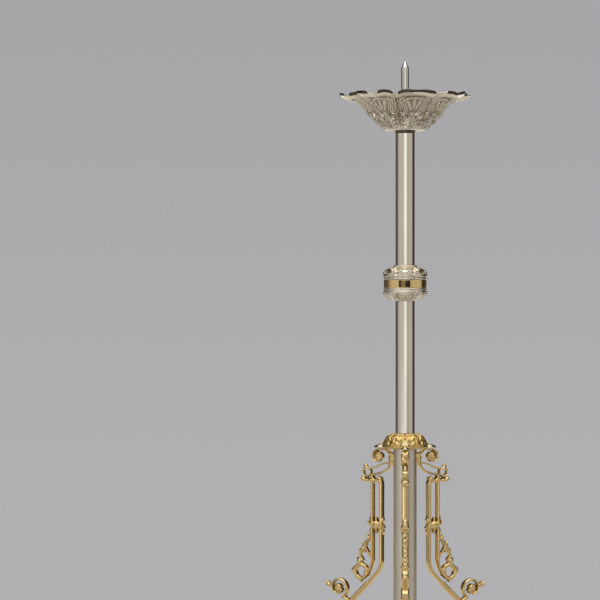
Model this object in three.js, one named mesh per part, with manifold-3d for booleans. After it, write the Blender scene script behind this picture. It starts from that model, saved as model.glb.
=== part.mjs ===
// Paschal candlestick: a slender turned stem with an embossed knop and a petalled drip pan, carried
// by a wider column and three cast openwork legs that are screwed to the column near its two ends.
// Millimetres, +Z up. The origin is on the floor at the middle of the plan, so the stem's axis is
// a little behind it, towards +Y. One leg points to the front, -Y, and the others are 120 degrees on.
import * as THREE from "three";
import { mergeVertices } from "three/addons/utils/BufferGeometryUtils.js";
import Module from "manifold-3d";

const wasm = await Module();
wasm.setup();

// Driving dimensions
const GAP = 0.3; // clearance between pieces that seat on each other
const ROUND = 24; // facets round a turned piece
const SMALL_ROUND = 8; // facets round a screw, a bore or a scroll's button
const TUBE_R = 13.2; // upper and lower stem tubes, outside
const TUBE_WALL = 1.2;
const COLUMN_R = 16; // column tube, outside
const COLUMN_WALL = 1.5;
const ROD_R = 5; // tie rod that draws the whole stack together
const BORE_R = ROD_R + 0.4;
const SPIGOT_R = TUBE_R - TUBE_WALL - GAP; // register that enters a stem tube
const SPIGOT_HIGH = 5;

// Heights above the floor
const TIP_Z = 1100; // point of the pricket
const PAN_Z = 1004; // underside of the drip pan
const KNOP_TOP = 819.3;
const KNOP_Z = 793.5; // middle of the knop's band
const KNOP_BOTTOM = 770.3;
const CROWN_TOP = 588.1;
const CROWN_RIM = 567.6;
const COLUMN_TOP = 579;
const COLUMN_BOTTOM = 166;
const UPPER_SCREW_Z = 553.5;
const LOWER_SCREW_Z = 190;
const FERRULE_BOTTOM = 128;
const FINIAL_TIP = 72;

// Pricket and candle seat
const PRICKET_R = 5.4;
const PRICKET_CONE = 9.2;
const SEAT_R = 24;
const SEAT_THICK = 2.8;
const SEAT_DISH = 0.8; // depth of the dish that the pricket's nut sits in
const NUT_R = 10;

// Drip pan
const PETALS = 8;
const PETAL_TURN = THREE.MathUtils.degToRad(11.5); // from the front to the middle of a petal
const PAN_WALL = 2.2;
const PAN_FLOOR_R = 27;
const PAN_BREAK_R = 64.7; // where the wall turns over into the lip
const PAN_BREAK_RISE = 38.6;
const PAN_LIP_R = 84;
const PAN_LIP_RISE = 46.4;
const PETAL_REACH = 6; // tips stand out and notches draw in by this much
const PETAL_SWELL = 1.8; // height of a petal's crown over the creases beside it
const PETAL_LIFT = 3.4; // how much higher a tip is than a notch

// Knop
const KNOP_R = 30.6;
const RING_R = 30.3;
const RING_THICK = 2.8;
const BAND_R = 29.6;
const BAND_HALF = 5.8;
const KNOP_WALL = 1.6;
const KNOP_LOBES = 8;

// Crown
const CROWN_R = 31.2;
const CROWN_WALL = 2.2;
const CROWN_LEAVES = 12;
const WING_TIP_R = 49;
const WING_HALF = 8;
const WING_THICK = 3.4;

// Legs
const LEG_NAMES = ["front", "right", "left"];
const LEG_STEP = 120; // degrees from one leg to the next
const BAND_WIDTH = 10; // how wide the cast bands are, across the leg
const BAND_THICK = 4;
const INNER_R = 37.3; // inner upright, from the stem's axis
const INNER_THICK = 5.2;
const OUTER_R = 51.4; // outer upright
const CROSS_Z = 522; // cross-piece on top of the two uprights
const KNOT_Z = 460;
const BEND_Z = 408; // where the uprights begin to sweep outwards
const LUG_OUT = 23.5; // outer face of the two lugs that take the screws
const LUG_WIDTH = 11;
const SCREW_R = 2;
const SCREW_HEAD_R = 3.4;
const SCREW_IN = 9; // inner end of a screw, from the axis
const FOOT_R = 170; // middle of a foot's glide
const FOOT_Z = 4; // underside of a foot
const GLIDE_R = 9;

function finish(name, color, roughness) {
  return new THREE.MeshStandardMaterial({ name, color, roughness, metalness: 1 });
}

const silver = finish("silver_plate", 0xcfc8ba, 0.22);
const gilt = finish("gilt_brass", 0xdcae58, 0.25);
const steel = finish("bright_steel", 0xc9c7c2, 0.2);
const brass = finish("plain_brass", 0xb99a58, 0.45);
const felt = new THREE.MeshStandardMaterial({ name: "glide_felt", color: 0x2c2a28, roughness: 0.95, metalness: 0 });

const stem = new THREE.Group();

// A closed geometry as a solid that can be cut and joined
function solidOf(geometry) {
  const bare = geometry.clone();
  bare.deleteAttribute("normal");
  bare.deleteAttribute("uv");
  const merged = mergeVertices(bare, 1e-3);
  const mesh = new wasm.Mesh({
    numProp: 3,
    vertProperties: merged.attributes.position.array,
    triVerts: new Uint32Array(merged.index.array),
  });
  return new wasm.Manifold(mesh);
}

// A solid as a geometry again
function geometryOf(solid) {
  const mesh = solid.getMesh();
  const plain = new THREE.BufferGeometry();
  plain.setAttribute("position", new THREE.BufferAttribute(new Float32Array(mesh.vertProperties), 3));
  plain.setIndex(new THREE.BufferAttribute(new Uint32Array(mesh.triVerts), 1));
  return plain;
}

function joined(geometries) {
  return geometries.map(solidOf).reduce((whole, piece) => whole.add(piece));
}

function cutAway(solid, tools) {
  return tools.map(solidOf).reduce((left, tool) => left.subtract(tool), solid);
}

function place(name, geometry, material, turn = 0) {
  const mesh = new THREE.Mesh(geometry, material);
  mesh.name = name;
  mesh.rotation.z = turn;
  stem.add(mesh);
}

// Angle of a leg about the stem's axis, from +X
function legAngle(index) {
  return THREE.MathUtils.degToRad(-90 + index * LEG_STEP);
}

// Revolves a profile of [radius, height] points about the stem's axis. The profile runs up the
// outside, and is closed here where it doesn't start and end on the axis.
function turned(profile, facets = ROUND) {
  const points = profile.map(([r, z]) => new THREE.Vector2(r, z));
  const onAxis = profile[0][0] === 0 && profile[profile.length - 1][0] === 0;
  if (!onAxis) points.push(points[0].clone());
  return new THREE.LatheGeometry(points, facets).rotateX(Math.PI / 2);
}

function sleeve(inner, outer, bottom, top, facets = ROUND) {
  return turned([[inner, bottom], [outer, bottom], [outer, top], [inner, top]], facets);
}

// A round bar along a radius, from one distance to another, at a height
function radialBar(radius, from, to, height) {
  const bar = new THREE.CylinderGeometry(radius, radius, to - from, SMALL_ROUND);
  return bar.rotateZ(-Math.PI / 2).translate((from + to) / 2, 0, height);
}

// The same cutter at each leg's angle
function atEachLeg(make) {
  return LEG_NAMES.map((_, index) => make().rotateZ(legAngle(index)));
}

// Moves each point of a geometry along its radius and up, by what relief gives for its angle from
// the front, its radius and its height
function shaped(geometry, relief) {
  const spots = geometry.attributes.position;
  for (let i = 0; i < spots.count; i += 1) {
    const x = spots.getX(i);
    const y = spots.getY(i);
    const radius = Math.max(Math.hypot(x, y), 1e-6);
    const [outward, upward] = relief(Math.atan2(x, -y), radius, spots.getZ(i));
    const scale = (radius + outward) / radius;
    spots.setXYZ(i, x * scale, y * scale, spots.getZ(i) + upward);
  }
  return geometry;
}

// How far an angle is from the middle of its lobe: 0 there, and 1 between two lobes
function acrossLobe(angle, lobes, turn = 0) {
  const share = ((angle - turn) * lobes) / (2 * Math.PI);
  return 2 * Math.abs(share - Math.round(share));
}

// Pricket: a spike on a round nut that screws down on the tie rod and holds the pan
function pricket() {
  const bottom = PAN_Z + PAN_WALL + GAP + SEAT_THICK - SEAT_DISH + GAP;
  return turned([
    [0, bottom + 14],
    [BORE_R, bottom + 14],
    [BORE_R, bottom],
    [NUT_R, bottom],
    [NUT_R, bottom + 7],
    [PRICKET_R + 1.6, bottom + 13],
    [PRICKET_R, bottom + 20],
    [PRICKET_R, TIP_Z - PRICKET_CONE],
    [0, TIP_Z],
  ], 16);
}

// Flat plate in the pan that the foot of the candle stands on, dished for the pricket's nut
function candleSeat() {
  const bottom = PAN_Z + PAN_WALL + GAP;
  return turned([
    [BORE_R, bottom],
    [SEAT_R - 4, bottom],
    [SEAT_R, bottom + 1],
    [SEAT_R, bottom + SEAT_THICK],
    [NUT_R + 1, bottom + SEAT_THICK],
    [NUT_R + 1, bottom + SEAT_THICK - SEAT_DISH],
    [BORE_R, bottom + SEAT_THICK - SEAT_DISH],
  ], 24);
}

// Drip pan: a spun bowl beaten into petals, with a turned-over lip on each
function dripPan() {
  const outside = [
    [BORE_R, 0],
    [PAN_FLOOR_R, 0],
    [39.5, 10.3],
    [54, 25.2],
    [PAN_BREAK_R, PAN_BREAK_RISE],
    [72.2, 41.8],
    [PAN_LIP_R, PAN_LIP_RISE],
  ];
  const inside = outside.slice(1, -1).reverse().map(([r, rise]) => [r - PAN_WALL * 0.7, rise + PAN_WALL]);
  const profile = [
    ...outside,
    [PAN_LIP_R - 0.4, PAN_LIP_RISE + PAN_WALL],
    ...inside,
    [BORE_R, PAN_WALL],
  ].map(([r, rise]) => [r, PAN_Z + rise]);
  return shaped(turned(profile, PETALS * 6), (angle, radius) => {
    const across = acrossLobe(angle, PETALS, PETAL_TURN);
    const wall = THREE.MathUtils.smoothstep(radius, PAN_FLOOR_R, PAN_BREAK_R);
    const lip = THREE.MathUtils.smoothstep(radius, PAN_BREAK_R - 4, PAN_LIP_R);
    const crown = Math.cos((across * Math.PI) / 2);
    const outward = lip * PETAL_REACH * (2 * Math.sqrt(crown) - 1) + wall * PETAL_SWELL * (crown - 0.6);
    const upward = lip * (crown * PETAL_LIFT - 1.4);
    return [outward, upward];
  });
}

// Dark ring under the pan that centres the upper tube
function panCollar() {
  const top = PAN_Z - GAP;
  const bottom = top - 3;
  return turned([
    [BORE_R, bottom - SPIGOT_HIGH],
    [SPIGOT_R, bottom - SPIGOT_HIGH],
    [SPIGOT_R, bottom],
    [TUBE_R + 0.2, bottom],
    [TUBE_R + 1.1, top],
    [BORE_R, top],
  ], 24);
}

// Half of the knop: a beaten cup that opens towards the band, with a register for the stem tube.
// It is drawn as the upper half, from its rim at height 0.
function knopCup(high) {
  const wide = KNOP_R;
  const lobed = shaped(turned([
    [wide - KNOP_WALL, 0],
    [wide - 0.3, 0],
    [wide, high * 0.15],
    [wide - 2.4, high * 0.5],
    [wide - 6.4, high * 0.76],
    [wide - 13.8, high * 0.88],
    [wide - 14.8, high],
    [SPIGOT_R, high],
    [SPIGOT_R, high + SPIGOT_HIGH],
    [BORE_R, high + SPIGOT_HIGH],
    [BORE_R, high * 0.7],
    [wide - 14.6, high * 0.7],
    [wide - KNOP_WALL - 2, high * 0.45],
  ], KNOP_LOBES * 3), (angle, radius, height) => {
    const rises = THREE.MathUtils.smoothstep(radius, 17, 24);
    const fades = 1 - THREE.MathUtils.smoothstep(height, high * 0.85, high);
    const across = acrossLobe(angle, KNOP_LOBES);
    return [rises * fades * 1.1 * (Math.cos((across * Math.PI) / 2) - 1), 0];
  });
  return lobed;
}

function knopRing(bottom) {
  return turned([
    [BORE_R, bottom],
    [RING_R, bottom],
    [RING_R, bottom + RING_THICK],
    [BORE_R, bottom + RING_THICK],
  ]);
}

function knopBand() {
  return sleeve(BAND_R - 3, BAND_R, KNOP_Z - BAND_HALF, KNOP_Z + BAND_HALF);
}

// One leaf of the crown: a plump tongue that lies over a leg and thins towards its tip
function wing() {
  const leaf = new THREE.Shape();
  leaf.moveTo(20, -WING_HALF);
  leaf.lineTo(33, -WING_HALF);
  leaf.quadraticCurveTo(WING_TIP_R - 7, -WING_HALF, WING_TIP_R, 0);
  leaf.quadraticCurveTo(WING_TIP_R - 7, WING_HALF, 33, WING_HALF);
  leaf.lineTo(20, WING_HALF);
  const flat = new THREE.ExtrudeGeometry(leaf, { depth: WING_THICK, bevelEnabled: false, curveSegments: 4 });
  const spots = flat.attributes.position;
  for (let i = 0; i < spots.count; i += 1) {
    const reach = spots.getX(i);
    const climb = 6 * (1 - THREE.MathUtils.smoothstep(reach, 20, 35));
    const thin = 1 - 0.55 * THREE.MathUtils.smoothstep(reach, WING_TIP_R - 12, WING_TIP_R);
    spots.setZ(i, spots.getZ(i) * thin + climb);
  }
  return flat.translate(0, 0, CROWN_RIM);
}

// Crown: a domed collar of leaves over the column's top, with a wing over each leg
function crown() {
  const high = CROWN_TOP - CROWN_RIM;
  const roof = high - 4.2;
  const dome = shaped(turned([
    [CROWN_R - CROWN_WALL, 0],
    [CROWN_R - 0.4, 0],
    [CROWN_R, high * 0.22],
    [CROWN_R - 2.2, high * 0.5],
    [CROWN_R - 6.4, high * 0.8],
    [CROWN_R - 12, high],
    [SPIGOT_R, high],
    [SPIGOT_R, high + SPIGOT_HIGH],
    [BORE_R, high + SPIGOT_HIGH],
    [BORE_R, roof],
    [CROWN_R - 10.4, roof],
    [CROWN_R - 4.8, high * 0.5],
  ].map(([r, z]) => [r, z + CROWN_RIM]), CROWN_LEAVES * 2), (angle, radius, height) => {
    const rises = THREE.MathUtils.smoothstep(radius, 20, 27);
    const fades = 1 - THREE.MathUtils.smoothstep(height, CROWN_RIM + high * 0.6, CROWN_TOP);
    return [rises * fades * 1.2 * (Math.cos((acrossLobe(angle, CROWN_LEAVES) * Math.PI) / 2) - 1), 0];
  });
  const reach = new THREE.CylinderGeometry(COLUMN_R + GAP, COLUMN_R + GAP, roof, ROUND);
  const bore = reach.rotateX(Math.PI / 2).translate(0, 0, CROWN_RIM + roof / 2 - 0.5);
  return geometryOf(cutAway(joined([dome, ...atEachLeg(wing)]), [bore]));
}

// A plug that closes one end of the column, with threaded holes for the leg screws
function plug(bottom, top, flangeBottom, flangeTop, screwHeight) {
  const inside = COLUMN_R - COLUMN_WALL - GAP;
  const profile = [
    [BORE_R, Math.min(bottom, flangeBottom)],
    ...(flangeBottom < bottom ? [[COLUMN_R, flangeBottom], [COLUMN_R, flangeTop]] : []),
    [inside, bottom],
    [inside, top],
    ...(flangeTop > top ? [[COLUMN_R, flangeBottom], [COLUMN_R, flangeTop]] : []),
    [BORE_R, Math.max(top, flangeTop)],
  ];
  const holes = atEachLeg(() => radialBar(SCREW_R + GAP, SCREW_IN - 1, COLUMN_R + 2, screwHeight));
  return geometryOf(cutAway(solidOf(turned(profile, 16)), holes));
}

function columnTube() {
  const holes = [UPPER_SCREW_Z, LOWER_SCREW_Z].flatMap((height) =>
    atEachLeg(() => radialBar(SCREW_R + GAP, COLUMN_R - 5, COLUMN_R + 2, height)));
  const tube = sleeve(COLUMN_R - COLUMN_WALL, COLUMN_R, COLUMN_BOTTOM, COLUMN_TOP);
  return geometryOf(cutAway(solidOf(tube), holes));
}

// Turned ferrule that closes the foot of the column
function ferrule() {
  const top = COLUMN_BOTTOM - GAP - 4;
  return turned([
    [BORE_R, FERRULE_BOTTOM],
    [14, FERRULE_BOTTOM],
    [14, FERRULE_BOTTOM + 5],
    [19, FERRULE_BOTTOM + 11],
    [22.5, FERRULE_BOTTOM + 18],
    [22.5, FERRULE_BOTTOM + 23],
    [18.6, FERRULE_BOTTOM + 28],
    [18.6, top],
    [BORE_R, top],
  ], 24);
}

// Drop finial: a turned pendant that screws on to the lower end of the tie rod
function dropFinial() {
  const top = FERRULE_BOTTOM - GAP;
  return turned([
    [0, FINIAL_TIP],
    [4.6, FINIAL_TIP + 4],
    [3.4, FINIAL_TIP + 9],
    [12, FINIAL_TIP + 22],
    [16.5, FINIAL_TIP + 34],
    [14.5, FINIAL_TIP + 44],
    [9, FINIAL_TIP + 49],
    [11.5, top],
    [BORE_R, top],
    [BORE_R, FINIAL_TIP + 30],
    [0, FINIAL_TIP + 30],
  ], 20);
}

function tieRod() {
  const bottom = FINIAL_TIP + 32;
  const top = PAN_Z + PAN_WALL + 2 * GAP + SEAT_THICK + 12;
  return turned([[0, bottom], [ROD_R, bottom], [ROD_R, top], [0, top]], SMALL_ROUND);
}

// Outline of a band whose middle line is given, by mitred offsets to both sides
function bandOutline(middle, thick, endThick) {
  const sides = middle.map((point, i) => {
    const before = middle[Math.max(i - 1, 0)];
    const after = middle[Math.min(i + 1, middle.length - 1)];
    const into = point.clone().sub(before).normalize();
    const away = after.clone().sub(point).normalize();
    const along = into.clone().add(away).normalize();
    const steady = into.lengthSq() > 0 ? into : away;
    const half = THREE.MathUtils.lerp(thick, endThick, i / (middle.length - 1)) / 2;
    const reach = half / Math.max(along.dot(steady), 0.6);
    const across = new THREE.Vector2(-along.y, along.x).multiplyScalar(reach);
    return [point.clone().add(across), point.clone().sub(across)];
  });
  return new THREE.Shape([...sides.map(([left]) => left), ...sides.map(([, right]) => right).reverse()]);
}

// A plate whose outline is in a leg's own plane: radius across, height up
function plate(shape, width, curveSegments = 4) {
  const solid = new THREE.ExtrudeGeometry(shape, { depth: width, bevelEnabled: false, curveSegments });
  return solid.translate(0, 0, -width / 2).rotateX(Math.PI / 2);
}

// A cast band along a path
function band(path, { thick = BAND_THICK, endThick = thick, width = BAND_WIDTH, divisions = 3 } = {}) {
  return plate(bandOutline(path.getPoints(divisions), thick, endThick), width);
}

// A path through a start and a run of curves, each given by its control points and its end
function route(start, ...curves) {
  const path = new THREE.Path();
  path.moveTo(...start);
  curves.forEach((numbers) => {
    if (numbers.length === 2) path.lineTo(...numbers);
    if (numbers.length === 4) path.quadraticCurveTo(...numbers);
    if (numbers.length === 6) path.bezierCurveTo(...numbers);
  });
  return path;
}

// A scroll that winds in towards its eye. Angles are in degrees, and a negative turn is clockwise.
function scroll(centre, outer, inner, from, turn) {
  const steps = Math.ceil(Math.abs(turn) / 45);
  const path = new THREE.Path();
  const points = Array.from({ length: steps + 1 }, (_, i) => {
    const angle = THREE.MathUtils.degToRad(from + (turn * i) / steps);
    const radius = THREE.MathUtils.lerp(outer, inner, i / steps);
    return new THREE.Vector2(centre[0] + radius * Math.cos(angle), centre[1] + radius * Math.sin(angle));
  });
  return path.setFromPoints(points);
}

// A button across a scroll's eye
function eye([r, z], radius, width = BAND_WIDTH + 3) {
  const disc = new THREE.CylinderGeometry(radius, radius, width, SMALL_ROUND);
  return disc.translate(r, 0, z);
}

function bead(spot, radius) {
  return eye(spot, radius, BAND_WIDTH + 1.6);
}

// A pointed leaf from its root to its tip, bulging to both sides
function leaf(root, tip, wide, width = 7) {
  const along = new THREE.Vector2(tip[0] - root[0], tip[1] - root[1]);
  const across = new THREE.Vector2(-along.y, along.x).normalize().multiplyScalar(wide);
  const side = (sign) => [root[0] + along.x * 0.4 + sign * across.x, root[1] + along.y * 0.4 + sign * across.y];
  const shape = new THREE.Shape();
  shape.moveTo(...root);
  shape.quadraticCurveTo(...side(1), ...tip);
  shape.quadraticCurveTo(...side(-1), ...root);
  return plate(shape, width, 2);
}

// Head of a leg: the lug on the column, the rosette scroll under the crown's wing, and two arcs
// that carry the cross-piece on top of the uprights
function legHead() {
  const lug = new THREE.Shape();
  lug.moveTo(COLUMN_R - 2, 543);
  lug.lineTo(LUG_OUT - 1, 543);
  lug.lineTo(LUG_OUT, 546);
  lug.lineTo(LUG_OUT, 560);
  lug.lineTo(COLUMN_R - 2, 563);
  return [
    plate(lug, LUG_WIDTH),
    band(route([19.5, 553], [23.2, 561.3, 30, 565.3], [41.5, 565.3]), { thick: 3 }),
    band(scroll([41.5, 556], 9.2, 4, 90, -420), { thick: 3, endThick: 3 }),
    eye([41.1, 555.8], 5.2),
    band(route([22, 547.6], [33, 547, 43.5, 541.3], [50, 538.4, 59, 539.5]), { thick: 2.4, endThick: 2 }),
    band(scroll([60, 533.6], 6.2, 6.2, 110, -380), { thick: 2.6 }),
    leaf([62, 538], [63.5, 546.5], 4),
    band(route([20, 552], [21.6, 540.6, 32.6, 534.8], [42, 531, 52, 530]), { thick: 2.6 }),
    band(route([INNER_R - 2, CROSS_Z], [66, CROSS_Z]), { thick: 6, endThick: 4, width: BAND_WIDTH + 1 }),
    band(route([OUTER_R, 531], [OUTER_R, CROSS_Z]), { thick: 4 }),
    bead([40, CROSS_Z + 1.4], 5.2),
    bead([OUTER_R, CROSS_Z + 1], 5.6),
    bead([66, CROSS_Z + 1.6], 4.2),
  ];
}

// The two uprights, and the leafy knot that ties them
function legUprights() {
  return [
    band(route([INNER_R, CROSS_Z], [INNER_R, BEND_Z + 4], [INNER_R, BEND_Z - 8, 46.5, 391.5], [60, 377.5]),
      { thick: INNER_THICK, endThick: BAND_THICK }),
    band(route([OUTER_R, CROSS_Z], [OUTER_R, BEND_Z + 4], [OUTER_R + 0.5, BEND_Z - 7, 60, 393])),
    band(route([INNER_R, KNOT_Z], [OUTER_R, KNOT_Z]), { thick: 9, width: BAND_WIDTH + 1 }),
    bead([(INNER_R + OUTER_R) / 2, KNOT_Z], 6.2),
    bead([INNER_R, KNOT_Z - 2], 4.6),
    bead([OUTER_R, KNOT_Z + 2], 4.6),
    leaf([OUTER_R, KNOT_Z], [60.5, KNOT_Z + 6], 4),
    leaf([INNER_R + 1, KNOT_Z], [31, KNOT_Z - 4], 3.4),
  ];
}

// Spur of leaves on the outer upright, and the ring that closes it below
function legSpur() {
  const ring = [69.5, 395.4];
  const ringHole = 6;
  const hoop = new THREE.Shape();
  hoop.absarc(ring[0], ring[1], 12.6, 0, Math.PI * 2);
  const hole = new THREE.Path();
  hole.absarc(ring[0], ring[1], ringHole, 0, Math.PI * 2, true);
  hoop.holes.push(hole);
  return [
    band(route([OUTER_R, 445], [57, 441, 62, 434], [68, 428, 70.7, 418], [71.4, 412, 71, 405]), { thick: 3.4 }),
    band(route([64, 433], [60, 424, 52.4, 415]), { thick: 3, endThick: 2.6, width: 8 }),
    leaf([61, 430], [69.5, 438], 5),
    leaf([59, 436], [62.5, 445.5], 3),
    plate(hoop, BAND_WIDTH, 6),
    bead([71.2, 407], 4.4),
    bead([60.5, 393], 5),
    bead([81.5, 396], 4),
  ];
}

// Main curve of a leg, from the uprights down to the foot, with the shoulder scroll outside it
function legSweep() {
  const sweep = route(
    [56, 382.5],
    [70, 367, 92, 352, 108, 326],
    [128, 293, 139, 250, 133, 205],
    [130, 180, 122, 150, 124, 118],
    [126, 86, 140, 66, 152, 44],
    [155, 36, 157.5, 29, 158.5, 21],
  );
  return [
    band(sweep, { thick: 6.5, endThick: 8.5, width: BAND_WIDTH + 2, divisions: 4 }),
    band(scroll([106, 371], 15.2, 6, 250, -420), { thick: 3.4, endThick: 3 }),
    eye([106, 371], 6),
    band(route([90, 352], [92, 358, 100, 357]), { thick: 4 }),
    leaf([107, 330], [130, 343], 6),
    bead([134.5, 236], 5),
    band(scroll([FOOT_R, 19], 12.6, 4.5, 160, 400), { thick: 4, endThick: 3.4 }),
    eye([FOOT_R, 19.5], 5.5),
    leaf([131, 76], [146, 84], 5),
  ];
}

// Brace between the main curve and the lug at the column's foot
function legBrace() {
  const lug = new THREE.Shape();
  lug.moveTo(COLUMN_R - 2, LOWER_SCREW_Z - 14);
  lug.lineTo(LUG_OUT, LOWER_SCREW_Z - 12);
  lug.lineTo(LUG_OUT, LOWER_SCREW_Z + 12);
  lug.lineTo(COLUMN_R - 2, LOWER_SCREW_Z + 14);
  return [
    plate(lug, LUG_WIDTH),
    band(route([20, 180], [30, 172, 46, 166, 62, 172], [84, 181, 106, 182, 130, 182]), { thick: 4.4 }),
    band(route([20, 200], [30, 203, 42, 206, 56, 199], [68, 192, 74, 184, 78, 178]), { thick: 3.4 }),
    bead([57, 198.5], 5),
    band(scroll([104, 168.5], 12, 4.5, 90, -400), { thick: 3.2, endThick: 2.8 }),
    eye([104, 168.5], 5.2),
    bead([130, 182], 6),
  ];
}

// Flat pad under the foot scroll, and the leg as one casting with its bores
function leg() {
  const pad = new THREE.Shape();
  pad.moveTo(FOOT_R - 12, FOOT_Z);
  pad.lineTo(FOOT_R + 12, FOOT_Z);
  pad.lineTo(FOOT_R + 10, FOOT_Z + 6);
  pad.lineTo(FOOT_R - 10, FOOT_Z + 6);
  const cast = joined([
    ...legHead(),
    ...legUprights(),
    ...legSpur(),
    ...legSweep(),
    ...legBrace(),
    plate(pad, 2 * GLIDE_R),
  ]);
  const clear = COLUMN_R + GAP;
  const column = new THREE.CylinderGeometry(clear, clear, TIP_Z, ROUND).rotateX(Math.PI / 2);
  const socket = new THREE.CylinderGeometry(2.8, 2.8, 10, SMALL_ROUND).rotateX(Math.PI / 2);
  return geometryOf(cutAway(cast, [
    column.translate(0, 0, TIP_Z / 2),
    radialBar(SCREW_R + GAP, COLUMN_R - 4, LUG_OUT + 1, UPPER_SCREW_Z),
    radialBar(SCREW_R + GAP, COLUMN_R - 4, LUG_OUT + 1, LOWER_SCREW_Z),
    socket.translate(FOOT_R, 0, FOOT_Z),
  ]));
}

// Screw that holds a lug, with a domed head on the lug's outer face
function legScrew(height) {
  const head = LUG_OUT + GAP;
  const profile = [
    [0, SCREW_IN],
    [SCREW_R, SCREW_IN],
    [SCREW_R, head],
    [SCREW_HEAD_R, head],
    [SCREW_HEAD_R * 0.8, head + 2],
    [0, head + 2.4],
  ];
  return turned(profile, SMALL_ROUND).rotateY(Math.PI / 2).translate(0, 0, height);
}

// Felt-faced glide that plugs into the pad of a foot
function footGlide() {
  return turned([
    [0, 0],
    [GLIDE_R, 0],
    [GLIDE_R, FOOT_Z - GAP],
    [2.5, FOOT_Z - GAP],
    [2.5, FOOT_Z + 4],
    [0, FOOT_Z + 4],
  ], 12).translate(FOOT_R, 0, 0);
}

place("pricket", pricket(), steel);
place("candle_seat", candleSeat(), silver);
place("drip_pan", dripPan(), silver);
place("pan_collar", panCollar(), brass);
place("upper_tube", sleeve(TUBE_R - TUBE_WALL, TUBE_R, KNOP_TOP + GAP, PAN_Z - 2 * GAP - 3), silver);

const ringTop = KNOP_Z + BAND_HALF + GAP;
const ringBottom = KNOP_Z - BAND_HALF - GAP - RING_THICK;
const cupBottom = ringTop + RING_THICK + GAP;
const lowerCupTop = ringBottom - GAP;
place("knop_upper_cup", knopCup(KNOP_TOP - cupBottom).translate(0, 0, cupBottom), silver);
place("knop_upper_ring", knopRing(ringTop), silver);
place("knop_band", knopBand(), gilt);
place("knop_lower_ring", knopRing(ringBottom), silver);
const lowerCup = knopCup(lowerCupTop - KNOP_BOTTOM).rotateX(Math.PI);
place("knop_lower_cup", lowerCup.translate(0, 0, lowerCupTop), silver);

place("lower_tube", sleeve(TUBE_R - TUBE_WALL, TUBE_R, CROWN_TOP + GAP, KNOP_BOTTOM - GAP), silver);
place("crown", crown(), gilt);
place("column_top_plug", plug(545, COLUMN_TOP + GAP, COLUMN_TOP + GAP, COLUMN_TOP + 4, UPPER_SCREW_Z), brass);
place("column_tube", columnTube(), silver);
place("column_foot_plug",
  plug(COLUMN_BOTTOM - GAP, 200, COLUMN_BOTTOM - 4, COLUMN_BOTTOM - GAP, LOWER_SCREW_Z), brass);
place("column_ferrule", ferrule(), gilt);
place("drop_finial", dropFinial(), gilt);
place("tie_rod", tieRod(), steel);

LEG_NAMES.forEach((name, index) => {
  const turn = legAngle(index);
  place(`leg_${name}`, leg(), gilt, turn);
  place(`upper_leg_screw_${name}`, legScrew(UPPER_SCREW_Z), gilt, turn);
  place(`lower_leg_screw_${name}`, legScrew(LOWER_SCREW_Z), gilt, turn);
  place(`foot_glide_${name}`, footGlide(), felt, turn);
});

// The stem's axis is set back so that the origin is under the middle of the whole plan
const reach = new THREE.Box3().setFromObject(stem, true);
const candlestick = new THREE.Group();
stem.position.y = -(reach.min.y + reach.max.y) / 2;
candlestick.add(stem);

export default candlestick;
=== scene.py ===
"""Looks of a paschal candlestick: silver-plated stem and drip pan, gilt knop band, crown and cast legs.

Shapes are worked out in millimetres about the stem's own axis, and made into objects in metres at
the place that the frame gives that axis. Heights and radii of whole pieces are read from the frame.
A leg is drawn in its own plane, where a place is a radius from the axis and a height.
"""

import logging
import math
from collections.abc import Callable, Iterable, Sequence
from dataclasses import dataclass
from enum import Enum

import bmesh
import bpy
import numpy as np
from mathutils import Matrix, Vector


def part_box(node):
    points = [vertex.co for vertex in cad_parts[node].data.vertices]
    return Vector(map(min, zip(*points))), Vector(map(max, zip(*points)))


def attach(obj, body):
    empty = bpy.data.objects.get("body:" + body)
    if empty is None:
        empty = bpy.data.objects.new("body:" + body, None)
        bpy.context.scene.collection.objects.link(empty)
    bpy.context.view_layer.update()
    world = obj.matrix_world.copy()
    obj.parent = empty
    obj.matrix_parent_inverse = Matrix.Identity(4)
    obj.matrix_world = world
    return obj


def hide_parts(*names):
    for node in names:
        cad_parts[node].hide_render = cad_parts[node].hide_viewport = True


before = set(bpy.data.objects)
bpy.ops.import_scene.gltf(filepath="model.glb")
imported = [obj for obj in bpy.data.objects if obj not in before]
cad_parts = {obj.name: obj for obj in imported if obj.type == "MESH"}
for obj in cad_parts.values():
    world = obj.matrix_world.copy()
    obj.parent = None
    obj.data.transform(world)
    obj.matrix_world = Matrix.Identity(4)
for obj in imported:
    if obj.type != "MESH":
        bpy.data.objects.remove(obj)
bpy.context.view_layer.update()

MM = 0.001
FULL_TURN = 2 * math.pi
BODY = "root"
GAP = 0.3  # clearance between pieces that seat on each other
BORE = 5.4  # radius of the hole for the tie rod
SPIGOT = 11.7  # radius of the step that centres one piece of the stack in the next
SPIGOT_HIGH = 5.0
WELD = 2e-6  # metres between points that are one

Spot = tuple[float, float]
Colour = tuple[float, float, float]
Relief = Callable[[np.ndarray, np.ndarray], np.ndarray]
Socket = bpy.types.NodeSocket
Sockets = bpy.types.bpy_prop_collection

log = logging.getLogger("candlestick")


class Slot(Enum):
    """Material slots of the record."""

    SILVER = "silver_plate"
    GILT = "gilt_brass"
    STEEL = "bright_steel"
    BRASS = "plain_brass"
    FELT = "glide_felt"


@dataclass(frozen=True)
class Extent:
    """Size of one node of the frame about the stem's axis, in millimetres."""

    radius: float
    bottom: float
    top: float

    @classmethod
    def of(cls, node: str) -> "Extent":
        """Reads a turned node's radius and its lowest and highest points from the frame."""
        low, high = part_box(node)
        return cls((high.x - low.x) / 2 / MM, low.z / MM, high.z / MM)

    @property
    def height(self) -> float:
        """Distance from the lowest to the highest point."""
        return self.top - self.bottom


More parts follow.
